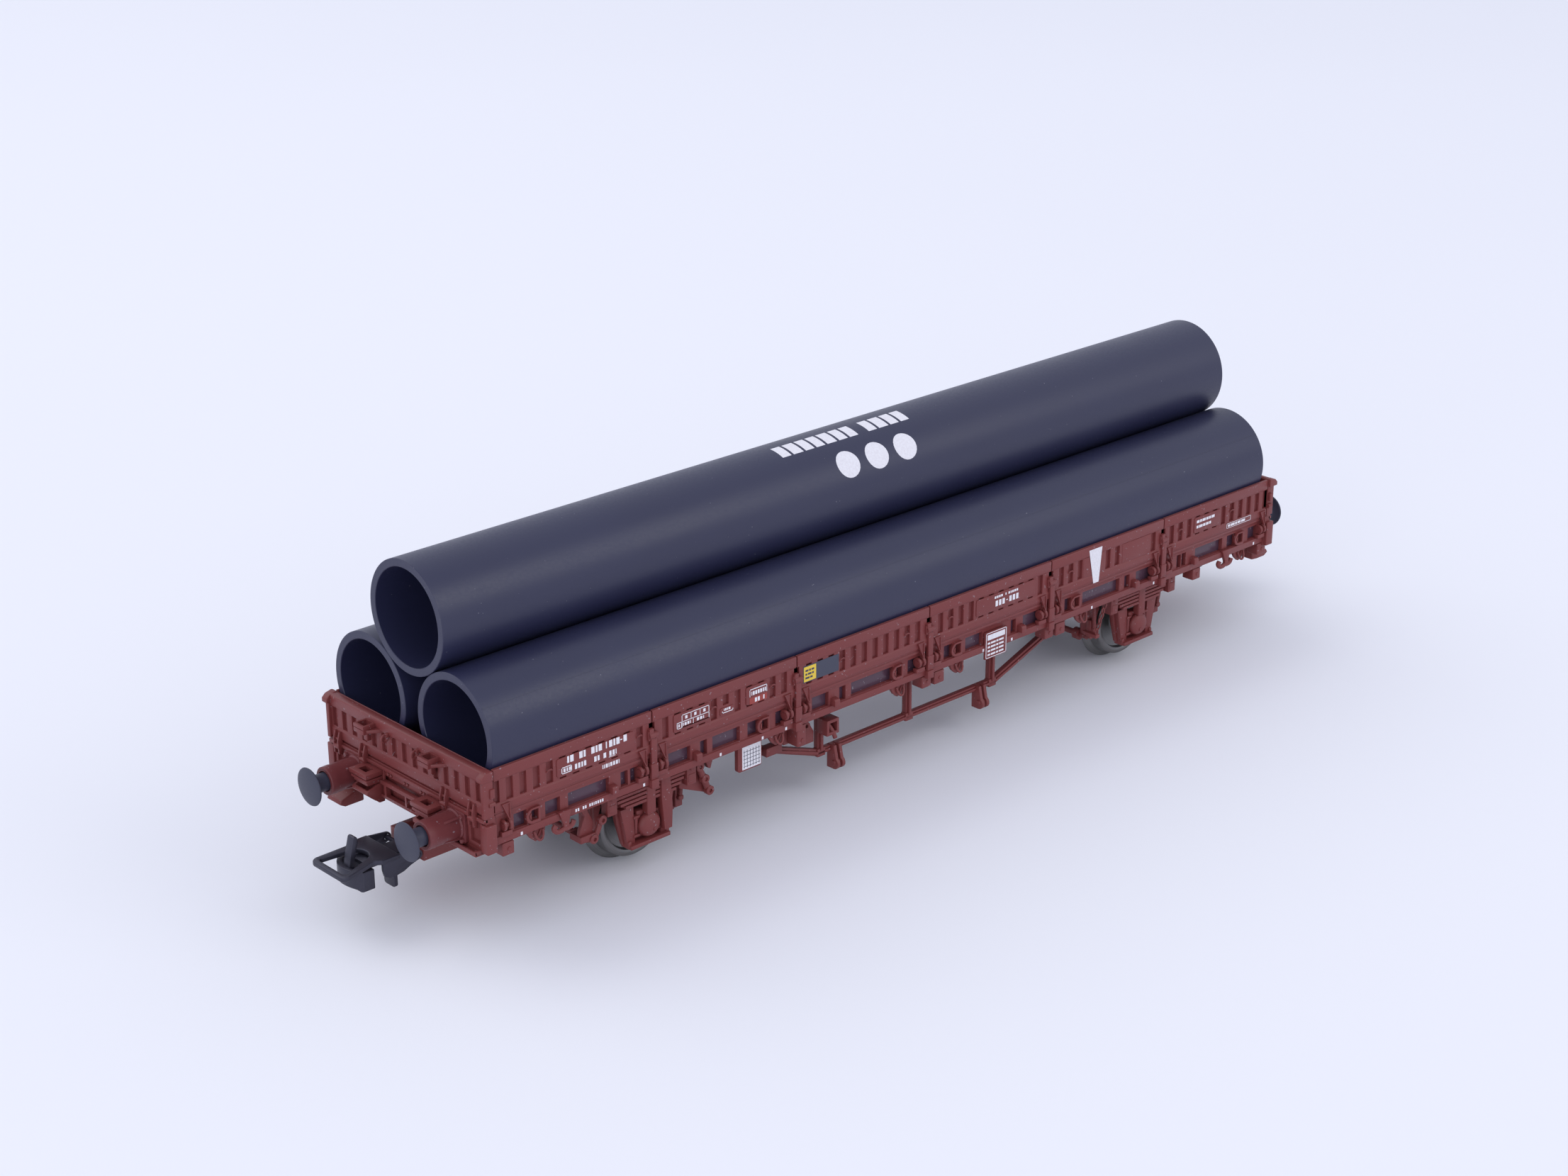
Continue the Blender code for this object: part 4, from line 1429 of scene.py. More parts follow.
@dataclass
class Buffers(Assembly):
    """Sprung buffers: a turned head that slides in a ribbed housing."""

    spacing: float = 9.8
    height: float = 14.4

    def head(self, y: float) -> Item:
        """Thin domed disc on its shank.

        Args:
            y: Its place across the wagon.

        Returns:
            The buffer head.
        """
        profile = [(0.0, -79.78), (0.9, -79.75), (1.7, -79.66), (2.2, -79.55), (2.38, -79.48), (2.42, -79.38)]
        profile += [(2.36, -79.28), (2.15, -79.22), (1.5, -79.12), (1.22, -78.9), (1.15, -78.5)]
        profile += [(1.13, -74.75), (1.05, -74.7), (0.0, -74.7)]
        return bench.turned(profile, (0.0, y, self.height), 0, 56)

    def housing(self, y: float) -> Item:
        """Housing with a collar, a root flange and four ribs on its foot plate.

        Args:
            y: Its place across the wagon.

        Returns:
            The housing.
        """
        profile = [(0.0, -73.35), (1.24, -73.35), (1.24, -77.18), (1.32, -77.3), (1.66, -77.3), (1.78, -77.2)]
        profile += [(1.8, -76.2), (1.76, -76.1), (1.76, -73.0), (1.95, -72.85), (1.95, -72.35), (0.0, -72.35)]
        parts = [bench.turned(profile, (0.0, y, self.height), 0, 44)]
        foot = rounded((y - 2.15, 12.5), (y + 2.15, 16.35), 0.35)
        parts.append(bench.slab(foot, Plane.END, -72.2, -72.75))
        nut = [(0.0, -0.4), (0.26, -0.4), (0.32, -0.32), (0.32, 0.0), (0.0, 0.0)]
        for side in (-1.0, 1.0):
            for up in (-1.0, 1.0):
                place = (-72.72, y + side * 1.72, self.height + up * 1.55)
                parts.append(bench.turned(nut, place, 0, 6))
        for angle in (45, 135, 225, 315):
            points = [(-72.7, 15.9), (-72.7, 16.45), (-73.4, 16.4), (-75.0, 16.2), (-75.0, 15.9)]
            rib = bench.outline(points, Plane.SIDE, y - 0.14, y + 0.14)
            parts.append(bench.swing(rib, (0.0, y, self.height), angle, "X"))
        return bench.join(*parts)

    def build(self) -> None:
        """Build the front pair and the twins."""
        for side, sign in (("left", -1.0), ("right", 1.0)):
            name = f"front_{side}"
            y = sign * self.spacing
            nodes = (f"buffer_housing_{name}",)
            self.keep(self.housing(y), f"buffer_case_{name}", BUFFER_CASE, "wagon", nodes)
            nodes = (f"buffer_head_{name}",)
            self.keep(self.head(y), f"buffer_disc_{name}", BUFFER, f"buffer_{name}", nodes)


@dataclass
class Coupler(Assembly):
    """Loop coupler: a sprung pocket, a hook with its shield, and the lifting loop."""

    height: float = 8.2
    shield_foot: float = 5.6
    loop_fall: float = 0.1

    def pocket(self) -> Item:
        """Pocket under the frame with its socket and the dovetail ridges on top.

        Returns:
            The pocket.
        """
        outside = [(-72.7, -3.3), (-72.7, 3.3), (-61.2, 3.3), (-60.2, 1.8), (-60.2, -1.8), (-61.2, -3.3)]
        item = bench.outline(outside, Plane.FLAT, 7.05, 9.35)
        hole = bench.turned([(0.0, 6.5), (1.0, 6.5), (1.0, 9.9), (0.0, 9.9)], (-62.0, 0.0, 0.0), 2, 32)
        socket = bench.block((-73.5, -1.6, 7.6), (-68.1, 1.6, 8.8))
        bench.cut(item, hole)
        bench.cut(item, socket)
        bench.sink(item, (0, 0, 1), [((-71.9, -65.0), (-2.5, -0.35)), ((-71.9, -65.0), (0.35, 2.5))], 0.35)
        return bench.soften(item, 0.06)

    def hook(self) -> Item:
        """Shank, convex shield, upright blade, release tab and the loop's pin.

        Returns:
            The hook.
        """
        shank = bench.block((-79.6, -1.5, 7.7), (-68.3, 1.5, 8.45), 0.08)
        front = arc((-78.4, 0.0), 3.6, 132, 228, 16)
        back = arc((-78.4, 0.0), 2.9, 228, 132, 16)
        shield = bench.outline(front + back, Plane.FLAT, self.shield_foot, 8.25)
        scoop = [(-83.0, 6.4), (-83.0, 3.0), (-80.0, 3.0), (-81.2, self.shield_foot + 0.25)]
        bench.cut(shield, bench.outline(scoop, Plane.SIDE, -4.0, 4.0))
        bench.soften(shield, 0.1, 3)
        ears = []
        for side in (-1.0, 1.0):
            low, high = (-80.9, side * 2.05, self.shield_foot + 0.05), (-79.3, side * 2.72, 8.2)
            ears.append(bench.block(low, high, 0.12, 3))
        shield = bench.join(shield, *ears)
        web = bench.block((-81.5, -0.8, 7.2), (-78.9, 0.8, 8.0), 0.08)
        points = [(-81.5, 7.3), (-81.1, 9.6), (-80.55, 11.75), (-80.35, 11.9), (-80.0, 11.75), (-79.95, 11.2)]
        points += [(-80.45, 9.2), (-80.7, 7.3)]
        blade = bench.slab(points, Plane.SIDE, -0.6, 0.6, 0.09, 3)
        tab = bench.slab(rounded((-1.1, 3.65), (1.1, 7.95), 0.4), Plane.END, -75.55, -75.05, 0.07)
        pin = [(0.0, -3.45), (0.24, -3.45), (0.3, -3.38), (0.3, 3.38), (0.24, 3.45), (0.0, 3.45)]
        bar = bench.turned(pin, (-73.5, 0.0, self.height), 1, 20)
        return bench.join(shank, shield, web, blade, tab, bar)

    def loop(self) -> Item:
        """Bow with its window and top plate, and the two cheeks that hang on the pin.

        Returns:
            The loop.
        """
        outer = [(-76.1, -3.4), (-78.6, -3.4), (-79.4, -2.8), (-83.0, -3.35)]
        outer += arc((-83.3, -2.6), 0.8, 270, 180, 5)
        outer += [(u, -v) for u, v in reversed(outer)]
        item = bench.outline(outer, Plane.FLAT, 8.6, 9.2)
        window = arc((-80.3, 0.0), 1.8, -90, 90, 12)
        window += arc((-83.0, 2.15), 0.4, 90, 180, 3) + arc((-83.0, -2.15), 0.4, 180, 270, 3)
        bench.cut(item, bench.outline(window, Plane.FLAT, 8.0, 10.0))
        bench.soften(item, 0.14, 3)
        for vertex in item.data.vertices:
            vertex.co.z += 0.05 - self.loop_fall * max(0.0, -79.4 - vertex.co.x)
        parts = [item]
        for y in (-3.35, 2.95):
            cheek = arc((-73.5, self.height), 0.62, 80, -90, 10)
            cheek += [(-74.6, 7.25), (-75.6, 6.8), (-76.6, 6.6), (-77.7, 6.62), (-78.3, 7.0), (-78.5, 7.8)]
            cheek += [(-78.5, 9.15), (-76.1, 9.15)]
            plate = bench.outline(cheek, Plane.SIDE, y, y + 0.4)
            eye = [(0.0, -1.0), (0.37, -1.0), (0.37, 1.0), (0.0, 1.0)]
            bench.cut(plate, bench.turned(eye, (-73.5, y + 0.2, self.height), 1, 24))
            parts.append(bench.soften(plate, 0.05))
        return bench.join(*parts)

    def build(self) -> None:
        """Build the front coupler and its twin."""
        body = "coupler_front"
        self.keep(self.pocket(), "coupling_pocket_front", RED_BROWN, body, ("coupler_pocket_front",))
        self.keep(self.hook(), "coupling_hook_front", COUPLER, body, ("coupler_hook_front",))
        self.keep(self.loop(), "coupling_loop_front", COUPLER, "coupler_loop_front", ("coupler_loop_front",))


@dataclass
class PipeLoad(Assembly):
    """Three thin-walled pipes in a pyramid, which lift off in one piece."""

    radius: float = 7.12
    bore: float = 6.12
    half_length: float = 70.4
    slide: float = -0.55
    spacing: float = 8.35
    low_height: float = 25.07
    gap: float = 0.05
    bar_gap: float = 0.42
    bend_step: float = 2.5

    BARS = (
        (-14.0, (1.5, 1.7, 1.5, 1.5, 1.7, 1.5, 1.5)),
        (-14.0 + 10.9 + 7 * 0.42 + 1.5, (1.5, 1.7, 1.5, 1.5)),
    )

    def pipe(self) -> Item:
        """Model one pipe about the X axis with broken edges.

        Returns:
            The pipe.
        """
        low, high = self.slide - self.half_length, self.slide + self.half_length
        edge = 0.07
        profile = [(self.radius, low + edge), (self.radius - edge, low), (self.bore + edge, low)]
        profile += [(self.bore, low + edge), (self.bore, high - edge), (self.bore + edge, high)]
        profile += [(self.radius - edge, high), (self.radius, high - edge)]
        return bench.turned(profile, (0.0, 0.0, 0.0), 0, 144)

    def build(self) -> None:
        """Stack the three pipes."""
        pattern = self.pipe()
        rise = math.sqrt((2 * self.radius + self.gap) ** 2 - self.spacing ** 2)
        places = {
            "left": (-self.spacing, self.low_height), "right": (self.spacing, self.low_height),
            "top": (0.0, self.low_height + rise),
        }
        seams = {"left": -50.0, "right": 50.0, "top": -150.0}
        for name, (y, z) in places.items():
            item = bench.join(bench.shift(pattern, 0.0, y, z), self.seam(y, z, seams[name]))
            self.keep(item, f"load_pipe_{name}", PIPE, "pipe_load", (f"pipe_{name}",), twin=False)
        bpy.data.objects.remove(pattern, do_unlink=True)
        self.keep(self.print_on_top(*places["top"]), "marks_top_pipe", WHITE, "pipe_load", twin=False)

    def seam(self, y: float, z: float, angle: float) -> Item:
        """Faint mould seam along a pipe.

        Args:
            y: Where the pipe's axis is across the wagon.
            z: Height of its axis.
            angle: Where the seam runs, in degrees from the crown.

        Returns:
            The seam.
        """
        low, high = self.slide - self.half_length + 0.1, self.slide + self.half_length - 0.1
        top = z + self.radius
        item = bench.block((low, y - 0.05, top - 0.1), (high, y + 0.05, top + 0.022))
        return bench.swing(item, (0.0, y, z), -angle, "X")

    def print_on_top(self, y: float, z: float) -> Item:
        """Row of plain bars and three plain discs, wrapped round the top pipe.

        Args:
            y: Where the pipe's axis is across the wagon.
            z: Height of its axis.

        Returns:
            The print, drawn flat as (x, angle) and then bent round the pipe.
        """
        shapes = []
        for start, widths in self.BARS:
            left = start
            for width in widths:
                shapes.append([(left, 67.5), (left + width, 67.5), (left + width, 87.5), (left, 87.5)])
                left += width + self.bar_gap
        for x in (-5.2, 0.0, 5.2):
            shapes.append([(x + 1.9 * u, 38.0 + 15.2 * v) for u, v in arc((0.0, 0.0), 1.0, 0, 345, 23)])
        parts = []
        for points in shapes:
            item = bench.outline(points, Plane.SIDE, 0.0, 1.0)
            bench.edit(item)
            for step in range(9, 35):
                bpy.ops.mesh.select_all(action="SELECT")
                place = (0.0, 0.0, self.bend_step * step)
                bpy.ops.mesh.bisect(plane_co=place, plane_no=(0.0, 0.0, 1.0), threshold=SLIVER)
            bench.leave()
            for vertex in item.data.vertices:
                turn = math.radians(vertex.co.z)
                reach = self.radius - 0.02 + 0.027 * vertex.co.y
                vertex.co.y = y - reach * math.cos(turn)
                vertex.co.z = z + reach * math.sin(turn)
            parts.append(bench.tidy(item))
        return bench.join(*parts)


@dataclass
class Wheels(Assembly):
    """Flanged wheels, turned from the solid."""

    back: float = 7.22
    face: float = 10.1
    flange: float = 6.3
    tread: float = 5.35

    def wheel(self) -> Item:
        """Model the front left wheel about its axle.

        Returns:
            The wheel.
        """
        profile = [(0.96, 7.3), (2.0, 7.3), (2.15, 7.45), (4.15, 7.6), (4.45, 7.35), (4.7, self.back)]
        profile += [(5.95, self.back), (6.17, 7.3), (self.flange, 7.5), (self.flange, 7.62), (6.17, 7.8)]
        profile += [(5.72, 8.02), (5.46, 8.2), (self.tread, 8.5), (5.3, 9.85), (5.17, 10.02)]
        profile.append((5.0, self.face))
        profile += [(4.6, self.face), (4.45, 10.02), (4.28, 9.45), (4.05, 9.32), (2.1, 9.18), (1.95, 9.3)]
        profile += [(1.86, 9.8), (1.68, 9.95), (0.96, 9.95)]
        return bench.turned([(r, -y) for r, y in profile], (AXLE_X, 0.0, AXLE_Z), 1, 96)

    def build(self) -> None:
        """Build both front wheels and their twins."""
        left = self.wheel()
        turn = Matrix.Translation((AXLE_X, 0.0, 0.0)) @ HALF_TURN @ Matrix.Translation((-AXLE_X, 0.0, 0.0))
        right = bench.copy(left, turn)
        for side, item in (("left", left), ("right", right)):
            node = f"wheel_front_{side}"
            name = f"turned_wheel_front_{side}"
            self.keep(item, name, FRONT_WHEELS, "wheelset_front", (node,), turned=REAR_WHEELS)


@dataclass
class RunningGear(Assembly):
    """Axle guards with their tie ledges, and the leaf springs with the axle boxes."""

    axle: float = AXLE_X
    plate_inner: float = 11.2
    plate_outer: float = 11.85
    leaf_pitch: float = 0.54
    leaf_thickness: float = 0.38

    def guard(self, side: float) -> Item:
        """Forked guard plate with flanged legs and the deep ledge that ties them.

        Args:
            side: -1 for the left side, 1 for the right one.

        Returns:
            The guard.
        """
        x = self.axle
        fork = [(-5.3, 12.95), (-4.5, 8.9), (-4.25, 7.4), (-3.3, 4.0)]
        fork += [(-u, v) for u, v in reversed(fork)]
        opening = [(-1.95, 9.2), (-2.2, 7.4), (-2.5, 4.6)]
        opening += [(-u, v) for u, v in reversed(opening)]
        inner, outer = side * self.plate_inner, side * self.plate_outer
        item = bench.outline([(x + u, v) for u, v in fork], Plane.SIDE, inner, outer)
        bench.cut(item, bench.outline([(x + u, v) for u, v in opening], Plane.SIDE, side * 11.0, side * 12.5))
        parts = [bench.soften(item, 0.04)]
        leg = [(4.25, 9.3), (3.85, 7.4), (3.2, 4.2), (2.05, 4.2), (2.15, 7.4), (2.2, 9.3)]
        for way in (-1.0, 1.0):
            shape = [(x + way * u, v) for u, v in leg]
            parts.append(bench.slab(shape, Plane.SIDE, side * 11.4, side * 12.62, 0.06))
            link = [(1.75, 12.3, 5.0), (1.8, 12.5, 6.3), (1.7, 12.4, 7.8)]
            parts.append(bench.rod([(x + way * u, side * v, w) for u, v, w in link], 0.24, sides=3))
            for height in (5.0, 7.5):
                low, high = (x + way * 1.3, side * 12.1, height), (x + way * 2.3, side * 12.75, height + 0.34)
                parts.append(bench.block(low, high, 0.06))
            low, high = (x + way * 2.75, side * 11.3, 3.72), (x + way * 3.25, side * 12.85, 4.75)
            parts.append(bench.block(low, high, 0.12, 3))
        ledge = bench.block((x - 3.15, side * 11.3, 3.72), (x + 3.15, side * 13.2, 4.28), 0.1)
        return bench.join(*parts, ledge)

    def leaf_stack(self, side: float) -> list[Item]:
        """Six leaves with gaps between them, shorter towards the axle box, on a thin core.

        Args:
            side: -1 for the left side, 1 for the right one.

        Returns:
            The leaves and the core.
        """
        leaves = []
        for number, half in enumerate((6.2, 6.0, 5.7, 5.3, 4.8, 4.0)):
            top = 12.75 - self.leaf_pitch * number
            foot = top - self.leaf_thickness
            points = [(-half, foot), (half, foot), (half, top), (-half, top)]
            shape = [(self.axle + u, v) for u, v in points]
            leaves.append(bench.slab(shape, Plane.SIDE, side * 12.36, side * 13.4, 0.03, 1))
        core = [(-6.0, 12.7), (-5.8, 11.2), (-3.9, 9.75), (3.9, 9.75), (5.8, 11.2), (6.0, 12.7)]
        shape = [(self.axle + u, v) for u, v in core]
        return leaves + [bench.outline(shape, Plane.SIDE, side * 12.3, side * 12.5)]

    def spring(self, side: float) -> Item:
        """Leaf spring with end blocks and strap, and the axle box under it.

        Args:
            side: -1 for the left side, 1 for the right one.

        Returns:
            The spring and the box in one piece.
        """
        x = self.axle
        parts = self.leaf_stack(side)
        bolt = [(r, side * d) for r, d in ((0.0, 0.0), (0.3, 0.0), (0.3, 0.12), (0.2, 0.22), (0.0, 0.24))]
        for way in (-1.0, 1.0):
            end = x + way * 6.3
            parts.append(bench.block((end - 0.75, side * 12.4, 9.75), (end + 0.75, side * 13.68, 12.7), 0.1))
            low, high = (end - 0.62, side * 12.6, 10.15), (end + 0.62, side * 13.78, 11.2)
            parts.append(bench.block(low, high, 0.16, 3))
            parts.append(bench.turned(bolt, (end, side * 13.66, 11.95), 1, 12))
        parts.append(bench.block((x - 0.7, side * 12.4, 7.9), (x + 0.7, side * 13.5, 12.3), 0.14, 3))
        box = bench.block((x - 1.6, side * 11.3, 4.82), (x + 1.6, side * 12.5, 8.3), 0.18, 3)
        well = [(0.0, 11.0), (1.12, 11.0), (1.0, 11.6), (0.2, 12.42), (0.0, 12.45)]
        bearing = bench.turned([(r, side * y) for r, y in well], (x, 0.0, AXLE_Z), 1, 32)
        parts.append(bench.cut(box, bearing))
        neck = [(0.0, 12.45), (1.3, 12.45), (1.5, 12.5), (1.62, 12.62), (1.66, 12.8), (1.62, 13.0)]
        neck += [(1.5, 13.2), (1.3, 13.38), (1.0, 13.52), (0.6, 13.61), (0.25, 13.65), (0.0, 13.66)]
        parts.append(bench.turned([(r, side * y) for r, y in neck], (x, 0.0, AXLE_Z), 1, 40))
        parts.append(bench.block((x - 0.5, side * 12.4, 7.4), (x + 0.5, side * 13.3, 8.2), 0.1))
        parts.append(bench.block((x + 0.1, side * 13.2, 5.5), (x + 0.5, side * 13.7, 5.95), 0.07))
        return bench.join(*parts)

    def build(self) -> None:
        """Build the gear of both front wheels and the twins."""
        for name, side in (("left", -1.0), ("right", 1.0)):
            nodes = (f"axle_guard_front_{name}",)
            self.keep(self.guard(side), f"guard_plate_front_{name}", RED_BROWN, "wagon", nodes)
            nodes = (f"spring_and_axle_box_front_{name}",)
            self.keep(self.spring(side), f"spring_box_front_{name}", RED_BROWN, "wagon", nodes)


@dataclass
class BrakeGear(Assembly):
    """Brake hangers that straddle a wheel, with their shoes, links and cross rods."""

    axle: float = AXLE_X
    reach: float = 7.3
    shoe_radius: float = 5.7

    def hanger(self, side: float) -> Item:
        """Hanger frame of one wheel.

        Args:
            side: -1 for the left side, 1 for the right one.

        Returns:
            The frame with its shoes, blocks, pins and links.
        """
        x = self.axle
        right = arc((x, AXLE_Z), self.shoe_radius, -14, 30, 8)
        left = arc((x, AXLE_Z), self.shoe_radius, 150, 194, 8)
        points = [(x + self.reach, 12.95), (x - self.reach, 12.95), (x - self.reach, 5.6), (x - 6.6, 4.8)]
        points += list(reversed(left)) + [(x - 6.3, 12.2), (x + 6.3, 12.2)] + list(reversed(right))
        points += [(x + 6.6, 4.8), (x + self.reach, 5.6)]
        parts = [bench.slab(points, Plane.SIDE, side * 8.3, side * 9.8, 0.06)]
        pin = [(r, side * d) for r, d in ((0.0, 0.0), (0.42, 0.0), (0.42, 0.5), (0.3, 0.62), (0.0, 0.62))]
        for way in (-1.0, 1.0):
            low, high = (x + way * 6.35, side * 9.6, 5.3), (x + way * 7.55, side * 10.4, 8.1)
            parts.append(bench.block(low, high, 0.12))
            parts.append(bench.turned(pin, (x + way * 6.95, side * 10.35, 6.7), 1, 20))
            link = [(6.95, 10.4, 12.6), (7.2, 10.7, 9.8), (6.95, 10.6, 6.8)]
            parts.append(bench.rod([(x + way * u, side * v, w) for u, v, w in link], 0.3, sides=3))
        return bench.join(*parts)

    def linkage(self) -> Item:
        """Levers and brackets between the left front wheel and the sole bar.

        Returns:
            The linkage.
        """
        x = self.axle
        lever = [(-11.2, 12.9), (-9.6, 12.9), (-9.4, 11.2), (-8.6, 9.4), (-8.9, 7.2), (-10.9, 7.6)]
        lever += [(-10.6, 9.0), (-9.9, 10.6)]
        bracket = [(9.0, 13.05), (10.9, 13.05), (10.3, 11.6), (9.9, 10.5), (9.5, 10.7), (9.0, 12.0)]
        beam = [(5.2, 10.6), (7.9, 11.2), (9.4, 8.8), (10.0, 8.2), (10.0, 7.4), (9.5, 7.2), (5.1, 9.2)]
        plates = ((lever, -12.2, -12.8, 0.08), (bracket, -12.4, -13.1, 0.08), (beam, -11.8, -12.7, 0.1))
        parts = [
            bench.slab([(x + u, v) for u, v in shape], Plane.SIDE, start, stop, edge)
            for shape, start, stop, edge in plates
        ]
        short = [(-7.5, -12.9, 9.9), (-8.1, -13.0, 8.4), (-8.8, -12.8, 7.0)]
        parts.append(bench.rod([(x + u, v, w) for u, v, w in short], 0.38, sides=3))
        parts.append(bench.block((x - 10.9, -13.2, 7.3), (x - 8.6, -11.0, 8.2), 0.12))
        long = [(7.9, -13.0, 11.5), (8.4, -13.15, 10.2), (8.9, -13.1, 9.1), (9.5, -13.0, 7.75)]
        parts.append(bench.rod([(x + u, v, w) for u, v, w in long], 0.42, sides=3))
        boss = [(0.0, 0.0), (0.62, 0.0), (0.62, -0.62), (0.5, -0.72)]
        boss += [(0.26, -0.72), (0.22, -0.5), (0.0, -0.5)]
        bosses = [(7.9, -12.9, 11.5), (8.7, -12.95, 9.6), (9.5, -12.85, 7.75)]
        bosses += [(-8.9, -12.7, 7.4), (-7.7, -12.9, 9.6)]
        parts += [bench.turned(boss, (x + u, v, w), 1, 24) for u, v, w in bosses]
        return bench.join(*parts)

    def tall_plate(self) -> Item:
        """Round-topped plate beside the left front spring.

        Returns:
            The plate.
        """
        points = [(-44.1, 5.0), (-42.9, 5.0), (-42.75, 8.0), (-43.1, 12.2)]
        points += arc((-43.8, 12.2), 0.7, 0, 180, 7) + [(-44.5, 9.5)]
        return bench.slab(points, Plane.SIDE, -12.5, -13.62, 0.08)

    def cross_rod(self, x: float) -> Item:
        """Rod across the wagon that joins two hangers.

        Args:
            x: Its place along the wagon.

        Returns:
            The rod with its two collars.
        """
        height = 5.2
        rod = [(0.0, -9.4), (0.42, -9.4), (0.42, 9.4), (0.0, 9.4)]
        collar = [(0.45, -0.5), (0.85, -0.5), (0.85, 0.5), (0.45, 0.5)]
        parts = [bench.turned(rod, (x, 0.0, height), 1, 24)]
        parts += [bench.turned(collar, (x, y, height), 1, 24) for y in (-7.6, 7.6)]
        return bench.join(*parts)

    def build(self) -> None:
        """Build the front gear and its twins."""
        for name, side in (("left", -1.0), ("right", 1.0)):
            nodes = (f"brake_gear_front_{name}",)
            self.keep(self.hanger(side), f"brake_hanger_front_{name}", RED_BROWN, "wagon", nodes)
        self.keep(self.linkage(), "brake_levers_front_left", RED_BROWN)
        self.keep(self.tall_plate(), "spring_stop_front_left", RED_BROWN)
        rods = bench.join(self.cross_rod(AXLE_X - 6.9), self.cross_rod(AXLE_X + 6.9))
        self.keep(rods, "brake_cross_rods_front", RED_BROWN)


@dataclass
class Truss(Assembly):
    """Strut frame under each side with its cheeks, boxes and levers."""

    low: float = 5.5
    high: float = 6.3
    top: float = 12.95
    post: float = 16.2
    knee: float = 16.9

    def frame(self) -> Item:
        """Bar, posts and raking ends with a stiffening rib along them.

        Returns:
            The frame.
        """
        run = (self.top - self.low) / 0.375
        half = [(self.knee, self.low), (self.knee + run, self.top), (self.knee + run - 2.3, self.top)]
        half += [(self.post + 0.5, self.high + 0.1), (self.post + 0.5, self.top), (self.post - 0.5, self.top)]
        half += [(self.post - 0.5, self.high), (0.5, self.high), (0.5, self.top)]
        points = half + [(-u, v) for u, v in reversed(half)]
        parts = [bench.slab(points, Plane.SIDE, -11.225, -11.975)]
        rib = [(self.knee - 0.1, 5.72), (self.knee + run - 1.2, 12.6)]
        rib += [(self.knee + run - 1.9, 12.6), (self.knee - 0.3, 6.05)]
        rib += [(-u, v) for u, v in reversed(rib)]
        parts.append(bench.slab(rib, Plane.SIDE, -11.9, -12.2, 0.04))
        for x in (-self.post, 0.0, self.post):
            parts.append(bench.block((x - 0.22, -12.35, 6.2), (x + 0.22, -11.8, 12.6), 0.05))
            parts.append(bench.block((x - 0.85, -12.3, 12.0), (x + 0.85, -11.2, self.top), 0.1))
            parts.append(bench.block((x - 0.7, -12.2, 5.35), (x + 0.7, -11.25, 6.5), 0.1))
        return bench.join(*parts)

    def cheeks(self, x: float) -> Item:
        """Pair of round-nosed cheeks that hang in front of the bar, with the bolt between them.

        Args:
            x: Their middle along the wagon.

        Returns:
            The pair.
        """
        parts = []
        for shift in (-0.45, 0.45):
            nose = [(11.3, 6.35), (11.3, 3.05)] + arc((12.6, 3.85), 0.8, -90, 60, 6) + [(12.6, 6.35)]
            low = x + shift - 0.25
            parts.append(bench.slab([(-y, z) for y, z in nose], Plane.END, low, low + 0.5, 0.06))
        bolt = [(0.0, -0.9), (0.3, -0.9), (0.36, -0.8), (0.36, 0.8), (0.3, 0.9), (0.0, 0.9)]
        parts.append(bench.turned(bolt, (x, -12.65, 4.0), 0, 20))
        return bench.join(*parts)

    def eye_plate(self) -> Item:
        """Plate with an eye on the raking bar.

        Returns:
            The plate.
        """
        points = [(-20.6, 8.1), (-17.9, 8.1), (-17.9, 9.6), (-18.5, 10.6)]
        points += arc((-19.1, 10.6), 0.6, 0, 180, 8) + [(-20.0, 9.4), (-20.6, 9.0)]
        item = bench.outline(points, Plane.SIDE, -11.95, -12.5)
        hole = [(0.0, -13.0), (0.26, -13.0), (0.26, -11.0), (0.0, -11.0)]
        bench.cut(item, bench.turned(hole, (-19.1, 0.0, 10.6), 1, 20))
        return bench.soften(item, 0.05)

    def lever_box(self) -> Item:
        """Open box with the brake lever's handle in it.

        Returns:
            The box.
        """
        item = bench.block((-16.85, -13.9, 8.85), (-14.7, -12.0, 11.0), 0.08)
        bench.cut(item, bench.block((-16.45, -15.0, 9.3), (-15.1, -12.6, 10.6)))
        lever = bench.rod([(-15.9, -13.0, 10.2), (-15.6, -13.6, 9.2), (-15.4, -13.9, 8.3)], 0.3, sides=3)
        return bench.join(item, lever)

    def knob_block(self) -> Item:
        """Block with a round knob, behind the flange.

        Returns:
            The block.
        """
        item = bench.block((-23.9, -13.3, 9.7), (-21.2, -11.6, 12.9), 0.16, 3)
        knob = [(0.0, -0.9), (0.5, -0.9), (0.75, -0.7), (0.8, -0.4), (0.7, 0.0), (0.0, 0.0)]
        box = bench.block((-26.5, -12.9, 8.7), (-23.8, -11.6, 9.9), 0.1)
        return bench.join(item, bench.turned(knob, (-21.6, -13.2, 10.1), 1, 28), box)

    def chain(self) -> Item:
        """Slack pull chain at the rear left guard.

        Returns:
            Six links between a hanger and a hook.
        """
        last, y = 5, -14.5
        links = []
        for step in range(last + 1):
            part = step / last
            x, z = 36.5 - 1.5 * part, 12.2 - 3.5 * part
            turn = 0.0 if step % 2 else 0.22
            ring = [(x, y - turn, z + 0.45), (x + 0.22 - turn, y - turn, z)]
            ring += [(x, y + turn, z - 0.45), (x - 0.22 + turn, y + turn, z)]
            links.append(bench.rod(ring, 0.13, closed=True, sides=1))
        hanger = bench.block((36.2, -14.8, 12.6), (37.1, -13.8, 13.4), 0.08)
        hook = bench.block((34.6, -14.75, 7.75), (35.4, -12.2, 8.3), 0.08)
        return bench.join(*links, hanger, hook)

